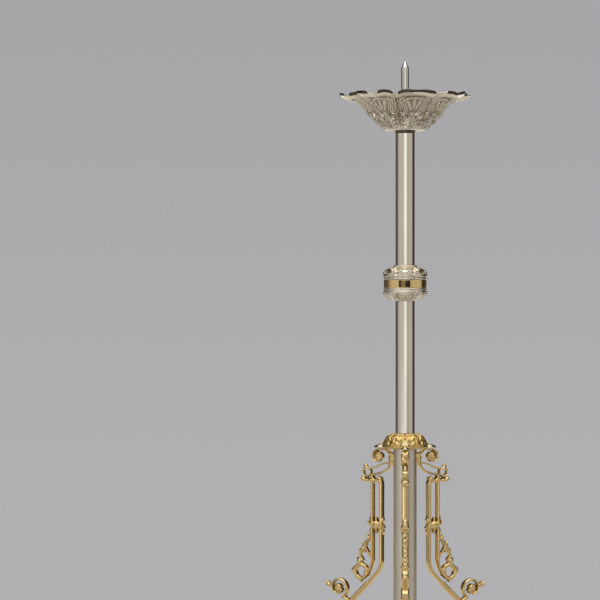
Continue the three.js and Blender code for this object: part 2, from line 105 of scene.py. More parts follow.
def stem_axis() -> np.ndarray:
    """Finds where the stem's axis stands, in millimetres from the frame's origin."""
    low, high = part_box("upper_tube")
    return np.array([(low.x + high.x) / 2, (low.y + high.y) / 2, 0.0]) / MM


AXIS = stem_axis()


# Curves

def ramp(value: np.ndarray, start: float, end: float) -> np.ndarray:
    """Eases from 0 at start to 1 at end."""
    share = np.clip((value - start) / (end - start), 0.0, 1.0)
    return share * share * (3.0 - 2.0 * share)


def within(value: np.ndarray, start: float, end: float, soft: float) -> np.ndarray:
    """Is 1 between start and end, and eases to 0 outside them over a soft distance."""
    return ramp(value, start - soft, start) * (1.0 - ramp(value, end, end + soft))


def mound(distance: np.ndarray, width: float) -> np.ndarray:
    """A smooth ridge of height 1 where the distance is 0."""
    return np.exp(-((distance / width) ** 2))


def wound(across: np.ndarray, up: np.ndarray, pitch: float) -> np.ndarray:
    """A spiral about its eye: 1 along its ridge and 0 between the turns, which lie a pitch apart."""
    turns = np.hypot(across, up) / pitch - np.arctan2(up, across) / FULL_TURN
    return np.cos(math.pi * turns) ** 2


def across_petals(angle: np.ndarray, count: int) -> np.ndarray:
    """Place across each of so many petals round the stem, from -1 at one edge to 1 at the other."""
    share = angle * count / FULL_TURN
    return 2 * (share - np.round(share))


def whole_turn(count: int) -> np.ndarray:
    """A row of angles, evenly spaced over a full turn."""
    return np.linspace(0.0, FULL_TURN, count, endpoint=False)[None, :]


def directions(points: np.ndarray) -> np.ndarray:
    """Unit direction of a run of points at each of them."""
    run = np.gradient(points, axis=0)
    return run / np.linalg.norm(run, axis=1, keepdims=True)


def beside(run: np.ndarray) -> np.ndarray:
    """Unit directions turned a quarter turn to the left."""
    return np.column_stack([-run[:, 1], run[:, 0]])


def lengths(points: np.ndarray) -> np.ndarray:
    """Length along a run of points, from 0 at the first one."""
    steps = np.linalg.norm(np.diff(points, axis=0), axis=1)
    return np.concatenate(([0.0], np.cumsum(steps)))


def evenly(points: np.ndarray, count: int) -> np.ndarray:
    """Spaces a run of points evenly along its length.

    Args:
        points: the run, one point a row.
        count: how many points to return.

    Returns:
        The new run, with the same ends.
    """
    measured = lengths(points)
    wanted = np.linspace(0.0, measured[-1], count)
    return np.column_stack([np.interp(wanted, measured, column) for column in points.T])


def flowing(spots: Sequence[Spot], count: int) -> np.ndarray:
    """A smooth curve through a few points.

    Args:
        spots: the points that the curve passes through.
        count: how many points to return.

    Returns:
        Evenly spaced points of the curve.
    """
    knots = np.array([spots[0], *spots, spots[-1]], float)
    share = np.linspace(0.0, 1.0, 24, endpoint=False)[:, None]
    runs = []
    for before, start, end, after in zip(knots, knots[1:], knots[2:], knots[3:]):
        runs.append(0.5 * (
            2 * start
            + (end - before) * share
            + (2 * before - 5 * start + 4 * end - after) * share**2
            + (3 * start - before - 3 * end + after) * share**3
        ))
    runs.append(knots[-1:])
    return evenly(np.concatenate(runs), count)


def eased(spots: Sequence[Spot], radius: float = 0.4, closed: bool = False) -> np.ndarray:
    """Rounds the corners of a profile, with a guard point on each side of every corner.

    Args:
        spots: corners of the profile.
        radius: how far from a corner its rounding starts.
        closed: whether the last corner joins the first.

    Returns:
        Points of the rounded profile.
    """
    guard = 1.6  # a guard point's distance from the corner, as a share of the rounding's
    corners = np.array(spots, float)
    count = len(corners)
    rounded: list[np.ndarray] = []
    for index, corner in enumerate(corners):
        if not closed and index in (0, count - 1):
            rounded.append(corner)
            continue
        before = corners[index - 1] - corner
        after = corners[(index + 1) % count] - corner
        reach_in = min(radius, np.linalg.norm(before) * 0.3)
        reach_out = min(radius, np.linalg.norm(after) * 0.3)
        start = corner + before / np.linalg.norm(before) * reach_in
        end = corner + after / np.linalg.norm(after) * reach_out
        rounded.append(corner + (start - corner) * guard)
        for share in np.linspace(0.0, 1.0, 5):
            rounded.append(start * (1 - share) ** 2 + corner * 2 * share * (1 - share) + end * share**2)
        rounded.append(corner + (end - corner) * guard)
    return np.array(rounded)


def route(start: Spot, *curves: tuple[float, ...], step: float = 1.0) -> np.ndarray:
    """A path in a leg's own plane.

    Args:
        start: first point, as radius and height.
        curves: 2 numbers for a line's end, 4 for a control point and an end, 6 for two and an end.
        step: distance between the points that are returned.

    Returns:
        Evenly spaced points of the path.
    """
    share = np.linspace(0.0, 1.0, 33)[1:, None]
    runs = [np.array([start], float)]
    for numbers in curves:
        here = runs[-1][-1]
        marks = np.array(numbers, float).reshape(-1, 2)
        if len(marks) == 1:
            runs.append(here + (marks[0] - here) * share)
        elif len(marks) == 2:
            runs.append(here * (1 - share) ** 2 + 2 * marks[0] * share * (1 - share) + marks[1] * share**2)
        else:
            runs.append(
                here * (1 - share) ** 3
                + 3 * marks[0] * share * (1 - share) ** 2
                + 3 * marks[1] * share**2 * (1 - share)
                + marks[2] * share**3
            )
    path = np.concatenate(runs)
    return evenly(path, max(int(lengths(path)[-1] / step), 4))


def scroll(centre: Spot, outer: float, inner: float, start: float, turn: float) -> np.ndarray:
    """A scroll that winds in towards its eye.

    Args:
        centre: the eye, as radius and height.
        outer: radius at the start.
        inner: radius at the end.
        start: angle of the start, in degrees.
        turn: degrees to wind through, negative for clockwise.

    Returns:
        Evenly spaced points of the scroll.
    """
    share = np.linspace(0.0, 1.0, 90)
    angle = np.radians(start + turn * share)
    radius = outer + (inner - outer) * share
    path = np.column_stack([centre[0] + radius * np.cos(angle), centre[1] + radius * np.sin(angle)])
    return evenly(path, max(int(lengths(path)[-1]), 8))


# Surfaces

def lattice(outward: np.ndarray, across: np.ndarray, height: np.ndarray) -> np.ndarray:
    """A grid of points from its coordinates, each spread over the others' rows and columns."""
    return np.stack(np.broadcast_arrays(outward, across, height), axis=-1)


def about_stem(radius: np.ndarray, angle: np.ndarray, height: np.ndarray) -> np.ndarray:
    """A grid of points about the stem's axis, from their radius, angle from the front and height."""
    return lattice(radius * np.sin(angle), -radius * np.cos(angle), height)


@dataclass
class Surface:
    """Points in millimetres about the stem's axis, the faces between them, and how deep each point lies.

    The recess runs from 0 on what stands out to 1 in the ground between it.
    """

    points: np.ndarray
    faces: list[tuple[int, ...]]
    recess: np.ndarray | None = None

    @classmethod
    def woven(cls, grid: np.ndarray, loop: bool = False, recess: np.ndarray | None = None) -> "Surface":
        """Weaves faces over a grid whose last column meets its first.

        Args:
            grid: points as rows, columns and coordinates.
            loop: whether the last row meets the first too.
            recess: how deep each point of the grid lies, as rows and columns.

        Returns:
            The surface over the grid.
        """
        rows, columns = grid.shape[:2]
        numbers = np.arange(rows * columns).reshape(rows, columns)
        if loop:
            numbers = np.vstack([numbers, numbers[:1]])
        following = np.roll(numbers, -1, axis=1)
        faces = np.stack([numbers[:-1], following[:-1], following[1:], numbers[1:]], axis=-1).reshape(-1, 4)
        deep = None if recess is None else recess.reshape(-1)
        return cls(grid.reshape(-1, 3), [tuple(face) for face in faces.tolist()], deep)

    @classmethod
    def joined(cls, parts: Iterable["Surface"]) -> "Surface":
        """Puts several surfaces into one.

        Args:
            parts: the surfaces, which may overlap.

        Returns:
            One surface, with the faces in the order of the parts.
        """
        points: list[np.ndarray] = []
        faces: list[tuple[int, ...]] = []
        recess: list[np.ndarray] = []
        count = 0
        for part in parts:
            points.append(part.points)
            faces.extend(tuple(number + count for number in face) for face in part.faces)
            recess.append(np.zeros(len(part.points)) if part.recess is None else part.recess)
            count += len(part.points)
        return cls(np.concatenate(points), faces, np.concatenate(recess))

    def turned(self, degrees: float) -> "Surface":
        """Turns the surface about the stem's axis.

        Args:
            degrees: how far, anticlockwise from above.

        Returns:
            The turned surface.
        """
        angle = math.radians(degrees)
        spin = np.array([
            [math.cos(angle), math.sin(angle), 0.0],
            [-math.sin(angle), math.cos(angle), 0.0],
            [0.0, 0.0, 1.0],
        ])
        return Surface(self.points @ spin, self.faces, self.recess)


def revolved(
    profile: np.ndarray,
    around: int = 96,
    relief: Relief | None = None,
    loop: bool = False,
    ground: Spot | None = None,
) -> Surface:
    """Turns a profile about the stem's axis.

    Args:
        profile: points as radius and height, running up the outside.
        around: how many columns the surface has.
        relief: gives how far a point stands out, for its angle from the front and its length
            along the profile.
        loop: whether the profile's end joins its start.
        ground: relief that is wholly recessed, and relief that isn't.

    Returns:
        The turned surface.
    """
    before = np.roll(profile, 1, axis=0) if loop else np.vstack([profile[:1], profile[:-1]])
    after = np.roll(profile, -1, axis=0) if loop else np.vstack([profile[1:], profile[-1:]])
    run = after - before
    run /= np.maximum(np.linalg.norm(run, axis=1, keepdims=True), 1e-9)
    angle = whole_turn(around)
    out = relief(angle, lengths(profile)[:, None]) if relief else np.zeros((len(profile), around))
    radius = np.maximum(profile[:, :1] + out * run[:, 1:], 0.0)
    height = profile[:, 1:] - out * run[:, :1]
    deep = 1.0 - ramp(out, *ground) if ground else None
    return Surface.woven(about_stem(radius, angle, height), loop, deep)


def swept(
    path: np.ndarray,
    thick: float | np.ndarray,
    wide: float | np.ndarray,
    squareness: float = 2.8,
    section: int = 20,
) -> Surface:
    """Sweeps a rounded section along a path in a leg's own plane, with rounded ends.

    Args:
        path: points as radius and height.
        thick: full thickness in the leg's plane, one number or one for each point.
        wide: full width across the leg.
        squareness: 2 for an ellipse, and more for a fuller section.
        section: how many points the section has.

    Returns:
        A closed surface.
    """
    end_width = 0.35  # width of a rounded end at its very tip, as a share of the full width
    measured = lengths(path)
    half_thick = np.broadcast_to(np.asarray(thick, float) / 2, len(path))
    half_wide = np.broadcast_to(np.asarray(wide, float) / 2, len(path))
    cap = np.maximum(half_thick, 0.5)
    inset = np.clip(np.minimum(measured, measured[-1] - measured) / cap, 0.0, 1.0)
    close = np.sqrt(np.maximum(1.0 - (1.0 - inset) ** 2, 0.0))
    side = beside(directions(path))
    angle = whole_turn(section)
    bend_in = np.sign(np.cos(angle)) * np.abs(np.cos(angle)) ** (2 / squareness)
    bend_across = np.sign(np.sin(angle)) * np.abs(np.sin(angle)) ** (2 / squareness)
    in_plane = (half_thick * close)[:, None] * bend_in
    narrowed = end_width + (1 - end_width) * close
    across = (half_wide * narrowed * (close > 0))[:, None] * bend_across
    outward = path[:, :1] + side[:, :1] * in_plane
    height = path[:, 1:] + side[:, 1:] * in_plane
    return Surface.woven(lattice(outward, across, height))


def ball(centre: Spot, radius: float, half_wide: float) -> Surface:
    """A bead in a leg's plane.

    Args:
        centre: its middle, as radius and height.
        radius: its radius in the leg's plane.
        half_wide: how far it reaches to each side across the leg.

    Returns:
        A closed surface.
    """
    tilt = np.linspace(0.0, math.pi, 17)[:, None]
    turn = whole_turn(24)
    outward = centre[0] + radius * np.sin(tilt) * np.cos(turn)
    height = centre[1] + radius * np.sin(tilt) * np.sin(turn)
    return Surface.woven(lattice(outward, half_wide * np.cos(tilt), height))


def rosette(centre: Spot, radius: float, half_wide: float, petals: int = 6) -> Surface:
    """A flower across a scroll's eye, with the same face on both sides of the leg.

    Args:
        centre: its middle, as radius and height.
        radius: reach of its petals.
        half_wide: about how far it reaches to each side across the leg.
        petals: how many petals it has.

    Returns:
        A closed surface.
    """
    rings = 14
    share = np.concatenate([np.linspace(0.0, 1.0, rings), np.linspace(1.0, 0.0, rings)])[:, None]
    face = np.concatenate([np.ones(rings), -np.ones(rings)])[:, None]
    turn = whole_turn(48)
    lobes = np.abs(np.cos(turn * petals / 2))
    reach = radius * share * (0.84 + 0.16 * lobes * ramp(share, 0.4, 1.0))
    dome = np.sqrt(np.maximum(1.0 - share**4, 0.0))
    petal = 0.74 + 0.20 * lobes * within(share, 0.45, 0.8, 0.15)
    groove = 0.16 * mound(share - 0.36, 0.09)
    button = 0.3 * mound(share, 0.22)
    bulge = half_wide * dome * (petal - groove + button)
    outward = centre[0] + reach * np.cos(turn)
    height = centre[1] + reach * np.sin(turn)
    return Surface.woven(lattice(outward, face * bulge, height))


def leaf(root: Spot, tip: Spot, thick: float, wide: float = 7.0, curl: float = 0.0) -> Surface:
    """A pointed leaf in a leg's plane.

    Args:
        root: where the leaf starts.
        tip: its point.
        thick: its greatest thickness in the leg's plane.
        wide: its width across the leg at the root.
        curl: how far its middle bows to one side, as a share of its length.

    Returns:
        A closed surface.
    """
    start, end = np.array(root, float), np.array(tip, float)
    share = np.linspace(0.0, 1.0, 22)[:, None]
    bow = np.array([-(end - start)[1], (end - start)[0]]) * curl
    path = start + (end - start) * share + bow * 4 * share * (1 - share)
    swell = (0.45 + 0.55 * np.sin(math.pi * share[:, 0] ** 0.8)) * np.sqrt(1.0 - 0.96 * share[:, 0] ** 4)
    taper = 1.0 - 0.35 * share[:, 0] ** 2
    return swept(path, thick * swell, wide * taper, 2.2, 14)


def sprig(root: Spot, tip: Spot, thick: float, wide: float = 7.0) -> list[Surface]:
    """Three leaves from one root: a long one, and a shorter one that curls out on each side.

    Args:
        root: where the leaves start.
        tip: point of the long leaf.
        thick: about the leaves' thickness in the leg's plane.
        wide: the long leaf's width across the leg.

    Returns:
        A closed surface for each leaf.
    """
    start, end = np.array(root, float), np.array(tip, float)
    along = end - start
    side = np.array([-along[1], along[0]])
    reach, aside, bow = 0.60, 0.36, 0.12  # of the side leaves, as shares of the long leaf's length
    parts = [leaf(root, tip, thick * 1.35, wide)]
    for sign in (-1.0, 1.0):
        out = start + along * reach + side * aside * sign
        parts.append(leaf(tuple(start + along * 0.02), tuple(out), thick * 1.25, wide * 0.9, -bow * sign))
    return parts


def lathed(spots: Sequence[Spot], radius: float, around: int) -> Surface:
    """Turns a closed profile about the stem's axis, with its corners rounded."""
    return revolved(eased(spots, radius, closed=True), around, loop=True)


def tube(node: str, wall: float) -> Surface:
    """A tube with broken edges, as long as its node.

    Args:
        node: name of the node that it stands for.
        wall: thickness of its wall.

    Returns:
        A closed surface.
    """
    size = Extent.of(node)
    inner = size.radius - wall
    return lathed([
        (size.radius, size.bottom), (size.radius, size.top), (inner, size.top), (inner, size.bottom),
    ], 0.3, 128)


def spigot(high: float, roof: float) -> list[Spot]:
    """Profile of the step on a hollow piece of the stack, from its foot down to the hollow's roof."""
    return [(SPIGOT, high), (SPIGOT, high + SPIGOT_HIGH), (BORE, high + SPIGOT_HIGH), (BORE, roof)]


# Objects

def skin(name: str, surface: Surface, sharp: float = 35.0) -> bpy.types.Object:
    """Makes an object of a surface.

    Args:
        name: name of the object.
        surface: its points and faces, in millimetres about the stem's axis.
        sharp: angle in degrees from which an edge is drawn sharp.

    Returns:
        The object, at the scene's origin.
    """
    mesh = bpy.data.meshes.new(name)
    mesh.from_pydata(((surface.points + AXIS) * MM).tolist(), [], surface.faces)
    if surface.recess is not None:
        mesh.attributes.new("recess", "FLOAT", "POINT").data.foreach_set("value", surface.recess)
    shape = bmesh.new()
    shape.from_mesh(mesh)
    bmesh.ops.remove_doubles(shape, verts=shape.verts, dist=WELD)
    bmesh.ops.recalc_face_normals(shape, faces=shape.faces)
    shape.to_mesh(mesh)
    shape.free()
    smooth(mesh, sharp)
    piece = bpy.data.objects.new(name, mesh)
    bpy.context.scene.collection.objects.link(piece)
    return piece


def smooth(mesh: bpy.types.Mesh, sharp: float) -> None:
    """Shades a mesh smooth, but for its sharp edges.

    Args:
        mesh: the mesh.
        sharp: angle in degrees from which an edge is drawn sharp.
    """
    mesh.polygons.foreach_set("use_smooth", [True] * len(mesh.polygons))
    mesh.set_sharp_from_angle(angle=math.radians(sharp))
    mesh.update()


def melted(piece: bpy.types.Object, grain: float, passes: int) -> Surface:
    """Melts the overlapping parts of a piece into one skin, as a casting has, and takes the piece away.

    Args:
        piece: the object.
        grain: size of the skin's faces, in millimetres.
        passes: how often the skin is smoothed.

    Returns:
        The skin.
    """
    melt = piece.modifiers.new("melt", "REMESH")
    melt.mode = "VOXEL"
    melt.voxel_size = grain * MM
    soften = piece.modifiers.new("soften", "SMOOTH")
    soften.factor = 0.5
    soften.iterations = passes
    bpy.context.view_layer.update()
    shaped = piece.evaluated_get(bpy.context.evaluated_depsgraph_get())
    mesh = bpy.data.meshes.new_from_object(shaped)
    points = np.empty(len(mesh.vertices) * 3)
    mesh.vertices.foreach_get("co", points)
    faces = [tuple(face.vertices) for face in mesh.polygons]
    bpy.data.objects.remove(piece)
    bpy.data.meshes.remove(mesh)
    return Surface(points.reshape(-1, 3) / MM - AXIS, faces)


# Node trees

class NodeSheet:
    """Fills a node tree one node at a time."""

    def __init__(self, tree: bpy.types.NodeTree) -> None:
        """Takes the tree to fill."""
        self.tree = tree

    def add(self, kind: str, inputs: dict | None = None, **settings: object) -> bpy.types.Node:
        """Adds a node.

        Args:
            kind: the node's type.
            inputs: values or sockets, by the name or number of the input that they feed.
            settings: properties of the node itself.

        Returns:
            The new node.
        """
        node = self.tree.nodes.new(kind)
        for key, value in settings.items():
            setattr(node, key, value)
        for key, value in (inputs or {}).items():
            self.feed(node.inputs[key], value)
        return node

    def feed(self, socket: Socket, value: object) -> None:
        """Links a socket to an input, or sets the input's value.

        Args:
            socket: the input.
            value: a socket, a number, a colour of three numbers, or a vector.
        """
        if isinstance(value, Socket):
            self.tree.links.new(value, socket)
        elif socket.type == "RGBA":
            socket.default_value = (*value, 1.0)
        else:
            socket.default_value = value

    def group(self, name: str, **inputs: object) -> Sockets:
        """Places a node group with its own values, and gives its outputs."""
        return self.add("ShaderNodeGroup", inputs, node_tree=bpy.data.node_groups[name]).outputs

    def math(self, operation: str, first: object, second: object = 0.0) -> Socket:
        """The result of a Math node."""
        return self.add("ShaderNodeMath", {0: first, 1: second}, operation=operation).outputs[0]

    def between(self, share: object, first: object, second: object, blend: str = "MIX") -> Socket:
        """A colour between two colours."""
        inputs = {0: share, 6: first, 7: second}  # the node's colours are its seventh and eighth inputs
        return self.add("ShaderNodeMix", inputs, data_type="RGBA", blend_type=blend).outputs[2]

    def spread(
        self, value: object, low: float, high: float, to_low: float = 0.0, to_high: float = 1.0
    ) -> Socket:
        """A value carried from one range to another with soft ends, and held inside it."""
        numbers = {0: value, 1: low, 2: high, 3: to_low, 4: to_high}
        return self.add("ShaderNodeMapRange", numbers, interpolation_type="SMOOTHSTEP").outputs[0]

    def level(self, value: object, low: float, high: float) -> Socket:
        """A value's place between two numbers, from 0 to 1."""
        return self.add("ShaderNodeMapRange", {0: value, 1: low, 2: high}).outputs[0]

    def stretched(self, factors: Sequence[float]) -> Socket:
        """The object's own coordinates, stretched along each axis."""
        spot = self.add("ShaderNodeTexCoord").outputs["Object"]
        return self.add("ShaderNodeMapping", {0: spot, 3: tuple(factors)}).outputs[0]

    def noise(self, vector: object, scale: object, detail: float = 3.0) -> Socket:
        """The value of a noise texture."""
        return self.add("ShaderNodeTexNoise", {0: vector, 2: scale, 3: detail}).outputs[0]

    def bump(self, height: object, distance: float) -> Socket:
        """A normal that follows a height, for its depth in millimetres."""
        values = {"Strength": 1.0, "Distance": distance * MM, "Height": height}
        return self.add("ShaderNodeBump", values).outputs["Normal"]

    def banded(self, value: object, bands: Sequence[tuple[float, Colour]]) -> Socket:
        """Colours that follow each other along a value.

        Args:
            value: what the colours are read along, from 0 to 1.
            bands: a place and a colour for each stop.

        Returns:
            The colour at the value.
        """
        node = self.add("ShaderNodeValToRGB", {0: value})
        stops = node.color_ramp.elements
        while len(stops) < len(bands):
            stops.new(0.5)
        for stop, (place, colour) in zip(stops, bands):
            stop.position = place
            stop.color = (*colour, 1.0)
        return node.outputs[0]


def node_group(name: str, inputs: dict[str, str], outputs: dict[str, str]) -> tuple[NodeSheet, dict, dict]:
    """Starts a shader node group.

    Args:
        name: the group's name.
        inputs: types of its inputs, by name.
        outputs: types of its outputs, by name.

    Returns:
        The group's sheet, the sockets that its inputs give, and the sockets that its outputs take.
    """
    tree = bpy.data.node_groups.new(name, "ShaderNodeTree")
    for label, kind in inputs.items():
        tree.interface.new_socket(label, in_out="INPUT", socket_type=kind)
    for label, kind in outputs.items():
        tree.interface.new_socket(label, in_out="OUTPUT", socket_type=kind)
    sheet = NodeSheet(tree)
    given = sheet.add("NodeGroupInput").outputs
    taken = sheet.add("NodeGroupOutput").inputs
    return sheet, {label: given[label] for label in inputs}, {label: taken[label] for label in outputs}


FLOAT = "NodeSocketFloat"
COLOUR = "NodeSocketColor"


def hollow_tarnish_and_shade_group() -> None:
    """Tarnish left in hollows together with painted shade where they are shut in, and metal rubbed bright on
    what stands out.
    """
    sheet, given, taken = node_group(
        "hollow_tarnish_and_shade",
        {"Metal": COLOUR, "Tarnish": COLOUR, "Rubbed": COLOUR, "Reach": FLOAT, "Strength": FLOAT},
        {"Color": COLOUR, "Hollow": FLOAT},
    )
    open_air, shut_in = 0.97, 0.45  # light that reaches plain metal, and the bottom of a hollow
    worn_from, worn_to = 0.51, 0.58  # how pointed an edge is where wear starts, and where it is full
    # ambient occlusion and the recess darken the hollows: partly real tarnish, partly painted shade
    shut = sheet.add("ShaderNodeAmbientOcclusion", {"Distance": given["Reach"]}, samples=8, only_local=True)
    sunk = sheet.add("ShaderNodeAttribute", attribute_name="recess").outputs["Fac"]
    depth = sheet.math("MAXIMUM", sheet.spread(shut.outputs["AO"], open_air, shut_in), sunk)
    cloud = sheet.noise(sheet.stretched((1, 1, 1)), 160.0, 4.0)
    patchy = sheet.math("MULTIPLY", depth, sheet.spread(cloud, 0.3, 0.7, 0.65, 1.0))
    hollow = sheet.math("MULTIPLY", patchy, given["Strength"])
    point = sheet.add("ShaderNodeNewGeometry").outputs["Pointiness"]
    rubbed = sheet.between(sheet.spread(point, worn_from, worn_to), given["Metal"], given["Rubbed"])
    sheet.feed(taken["Color"], sheet.between(hollow, rubbed, given["Tarnish"]))
    sheet.feed(taken["Hollow"], hollow)


def handling_group() -> None:
    """Smudges of handling and a thin haze, as a roughness and a tone near 1."""
    sheet, given, taken = node_group(
        "handling_marks",
        {"Roughness": FLOAT, "Smudge": FLOAT},
        {"Roughness": FLOAT, "Tone": FLOAT},
    )
    broad = sheet.noise(sheet.stretched((1, 1, 0.5)), 24.0, 3.0)
    fine = sheet.noise(sheet.stretched((1, 1, 0.7)), 210.0, 5.0)
    mixed = sheet.math("ADD", sheet.math("MULTIPLY", broad, 0.65), sheet.math("MULTIPLY", fine, 0.35))
    added = sheet.math("MULTIPLY", sheet.spread(mixed, 0.38, 0.66), given["Smudge"])
    sheet.feed(taken["Roughness"], sheet.math("ADD", given["Roughness"], added))
    sheet.feed(taken["Tone"], sheet.math("SUBTRACT", 1.0, sheet.math("MULTIPLY", added, 0.5)))


def turned_lines_group() -> None:
    """Height of the fine lines that a lathe or a polishing belt leaves round a turned piece."""
    sheet, given, taken = node_group("turned_lines", {"Fineness": FLOAT}, {"Height": FLOAT})
    place = sheet.add("ShaderNodeTexCoord").outputs["Object"]
    parts = sheet.add("ShaderNodeSeparateXYZ", {0: place}).outputs
    round_scale = 40.0  # coarse round the piece, so that the lines run on
    scales = (round_scale, round_scale, given["Fineness"])
    scaled = {axis: sheet.math("MULTIPLY", parts[axis], scale) for axis, scale in enumerate(scales)}
    spot = sheet.add("ShaderNodeCombineXYZ", scaled).outputs[0]
    sheet.feed(taken["Height"], sheet.noise(spot, 1.0, 2.0))


def cast_skin_group() -> None:
    """Height of the soft unevenness and small pits of a polished casting or a beaten sheet."""
    sheet, given, taken = node_group("cast_skin", {"Pits": FLOAT, "Scale": FLOAT}, {"Height": FLOAT})
    spot = sheet.add("ShaderNodeTexCoord").outputs["Object"]
    rolling = sheet.noise(spot, given["Scale"], 3.0)
    cells = sheet.add("ShaderNodeTexVoronoi", {0: spot, 2: given["Scale"]}).outputs["Distance"]
    pits = sheet.math("MULTIPLY", sheet.spread(cells, 0.0, 0.5), given["Pits"])
    sheet.feed(taken["Height"], sheet.math("ADD", rolling, pits))


# Finishes

class Texture(Enum):
    """What the surface of a metal shows under a lens."""

    TURNED = "turned_lines"
    CAST = "cast_skin"


@dataclass(frozen=True)
class Finish:
    """A surface, built as a material when a piece first asks for it."""

    name: str

    def material(self) -> bpy.types.Material:
        """Builds the finish, or finds it where it is there already.

        Returns:
            The material.
        """
        material = bpy.data.materials.get(self.name)
        if material is None:
            material = bpy.data.materials.new(self.name)
            material.use_nodes = True
            self.fill(NodeSheet(material.node_tree), material.node_tree.nodes["Principled BSDF"].inputs)
        return material

    def fill(self, sheet: NodeSheet, shader: Sockets) -> None:
        """Sets the inputs of the material's shader, as each kind of finish does in its own way."""
        raise NotImplementedError


@dataclass(frozen=True)
class MetalFinish(Finish):
    """A metal surface, its tarnish with painted shade in its hollows, and its wear."""

    metal: Colour
    # colour of the hollows: real tarnish, and painted shade where they are shut in
    tarnish_and_shade: Colour
    rubbed: Colour
    roughness: float
    texture: Texture
    reach: float = 3.0  # of a hollow's tarnish and painted shade, in millimetres
    strength: float = 0.0  # of the tarnish and painted shade
    smudge: float = 0.05
    relief: float = 0.02  # depth of the texture, in millimetres
    scale: float = 900.0  # of the texture
    pits: float = 0.4

    def fill(self, sheet: NodeSheet, shader: Sockets) -> None:
        """Lays tarnish and painted shade in the metal's hollows, smudges it, and gives it the texture of its
        making.

        Args:
            sheet: the material's sheet.
            shader: the inputs of its shader.
        """
        dulling = 0.25  # roughness that full tarnish adds
        tarnish_and_shade = sheet.group("hollow_tarnish_and_shade", Metal=self.metal, Tarnish=self.tarnish_and_shade, Rubbed=self.rubbed,
                              Reach=self.reach * MM, Strength=self.strength)
        marks = sheet.group("handling_marks", Roughness=self.roughness, Smudge=self.smudge)
        tones = {0: tarnish_and_shade["Color"], 3: marks["Tone"]}
        toned = sheet.add("ShaderNodeVectorMath", tones, operation="SCALE")
        dulled = sheet.math("MULTIPLY", tarnish_and_shade["Hollow"], dulling)
        if self.texture is Texture.TURNED:
            grain = sheet.group(self.texture.value, Fineness=self.scale)
        else:
            grain = sheet.group(self.texture.value, Scale=self.scale, Pits=self.pits)
        shader["Metallic"].default_value = 1.0
        sheet.feed(shader["Base Color"], toned.outputs[0])
        sheet.feed(shader["Roughness"], sheet.math("ADD", marks["Roughness"], dulled))
        sheet.feed(shader["Normal"], sheet.bump(grain["Height"], self.relief))


@dataclass(frozen=True)
class FeltFinish(Finish):
    """Pressed felt, with a matted surface."""

    light: Colour
    dark: Colour

    def fill(self, sheet: NodeSheet, shader: Sockets) -> None:
        """Mats the felt's fibres.

        Args:
            sheet: the material's sheet.
            shader: the inputs of its shader.
        """
        matted = sheet.noise(sheet.stretched((1, 1, 3)), 2600.0, 6.0)
        sheet.feed(shader["Base Color"], sheet.between(sheet.spread(matted, 0.3, 0.7), self.dark, self.light))
        sheet.feed(shader["Normal"], sheet.bump(matted, 0.3))
        shader["Roughness"].default_value = 0.95
        shader["Sheen Weight"].default_value = 0.3


@dataclass(frozen=True)
class FloorFinish(Finish):
    """A pale, faintly clouded floor, with a painted pool of light on its far side behind the stand."""

    light: Colour
    dark: Colour
    behind: Colour

    def fill(self, sheet: NodeSheet, shader: Sockets) -> None:
        """Clouds the floor and paints a pool of light on its far side.

        Args:
            sheet: the material's sheet.
            shader: the inputs of its shader.
        """
        place = sheet.stretched((1, 1, 1))
        tone = sheet.between(sheet.noise(place, 3.0, 2.0), self.dark, self.light)
        away = sheet.add("ShaderNodeSeparateXYZ", {0: place}).outputs[1]
        # the lighter far side is a painted pool of light
        sheet.feed(shader["Base Color"], sheet.between(sheet.spread(away, 0.1, 0.5), tone, self.behind))
        shader["Roughness"].default_value = 0.75


@dataclass(frozen=True)
class BoardFinish(Finish):
    """A matt board that glows as dimly as it is dark."""

    tone: float

    def fill(self, sheet: NodeSheet, shader: Sockets) -> None:
        """Sets the board's warm tone.

        Args:
            sheet: the material's sheet.
            shader: the inputs of its shader.
        """
        sheet.feed(shader["Base Color"], (self.tone, self.tone * 0.9, self.tone * 0.75))
        sheet.feed(shader["Emission Color"], (1.0, 0.92, 0.8))
        shader["Emission Strength"].default_value = self.tone
        shader["Roughness"].default_value = 0.9


# In each metal finish the second colour lies in the hollows, as tarnish and, where its strength is above 0,
# as painted shade.
POLISHED_SILVER = MetalFinish(
    "polished_silver_plate", (0.90, 0.85, 0.77), (0.34, 0.27, 0.18), (0.95, 0.92, 0.86),
    roughness=0.10, texture=Texture.TURNED, smudge=0.03, relief=0.003, scale=2200.0,
)
SATIN_SILVER = MetalFinish(
    "satin_silver_plate", (0.80, 0.74, 0.65), (0.34, 0.27, 0.18), (0.86, 0.82, 0.74),
    roughness=0.33, texture=Texture.TURNED, smudge=0.06, relief=0.01, scale=1600.0,
)
CHASED_SILVER = MetalFinish(
    "chased_silver_plate", (0.935, 0.85, 0.71), (0.27, 0.19, 0.10), (0.99, 0.97, 0.94),
    roughness=0.12, texture=Texture.CAST, reach=3.5, strength=0.85, smudge=0.06, relief=0.05, scale=520.0,
)
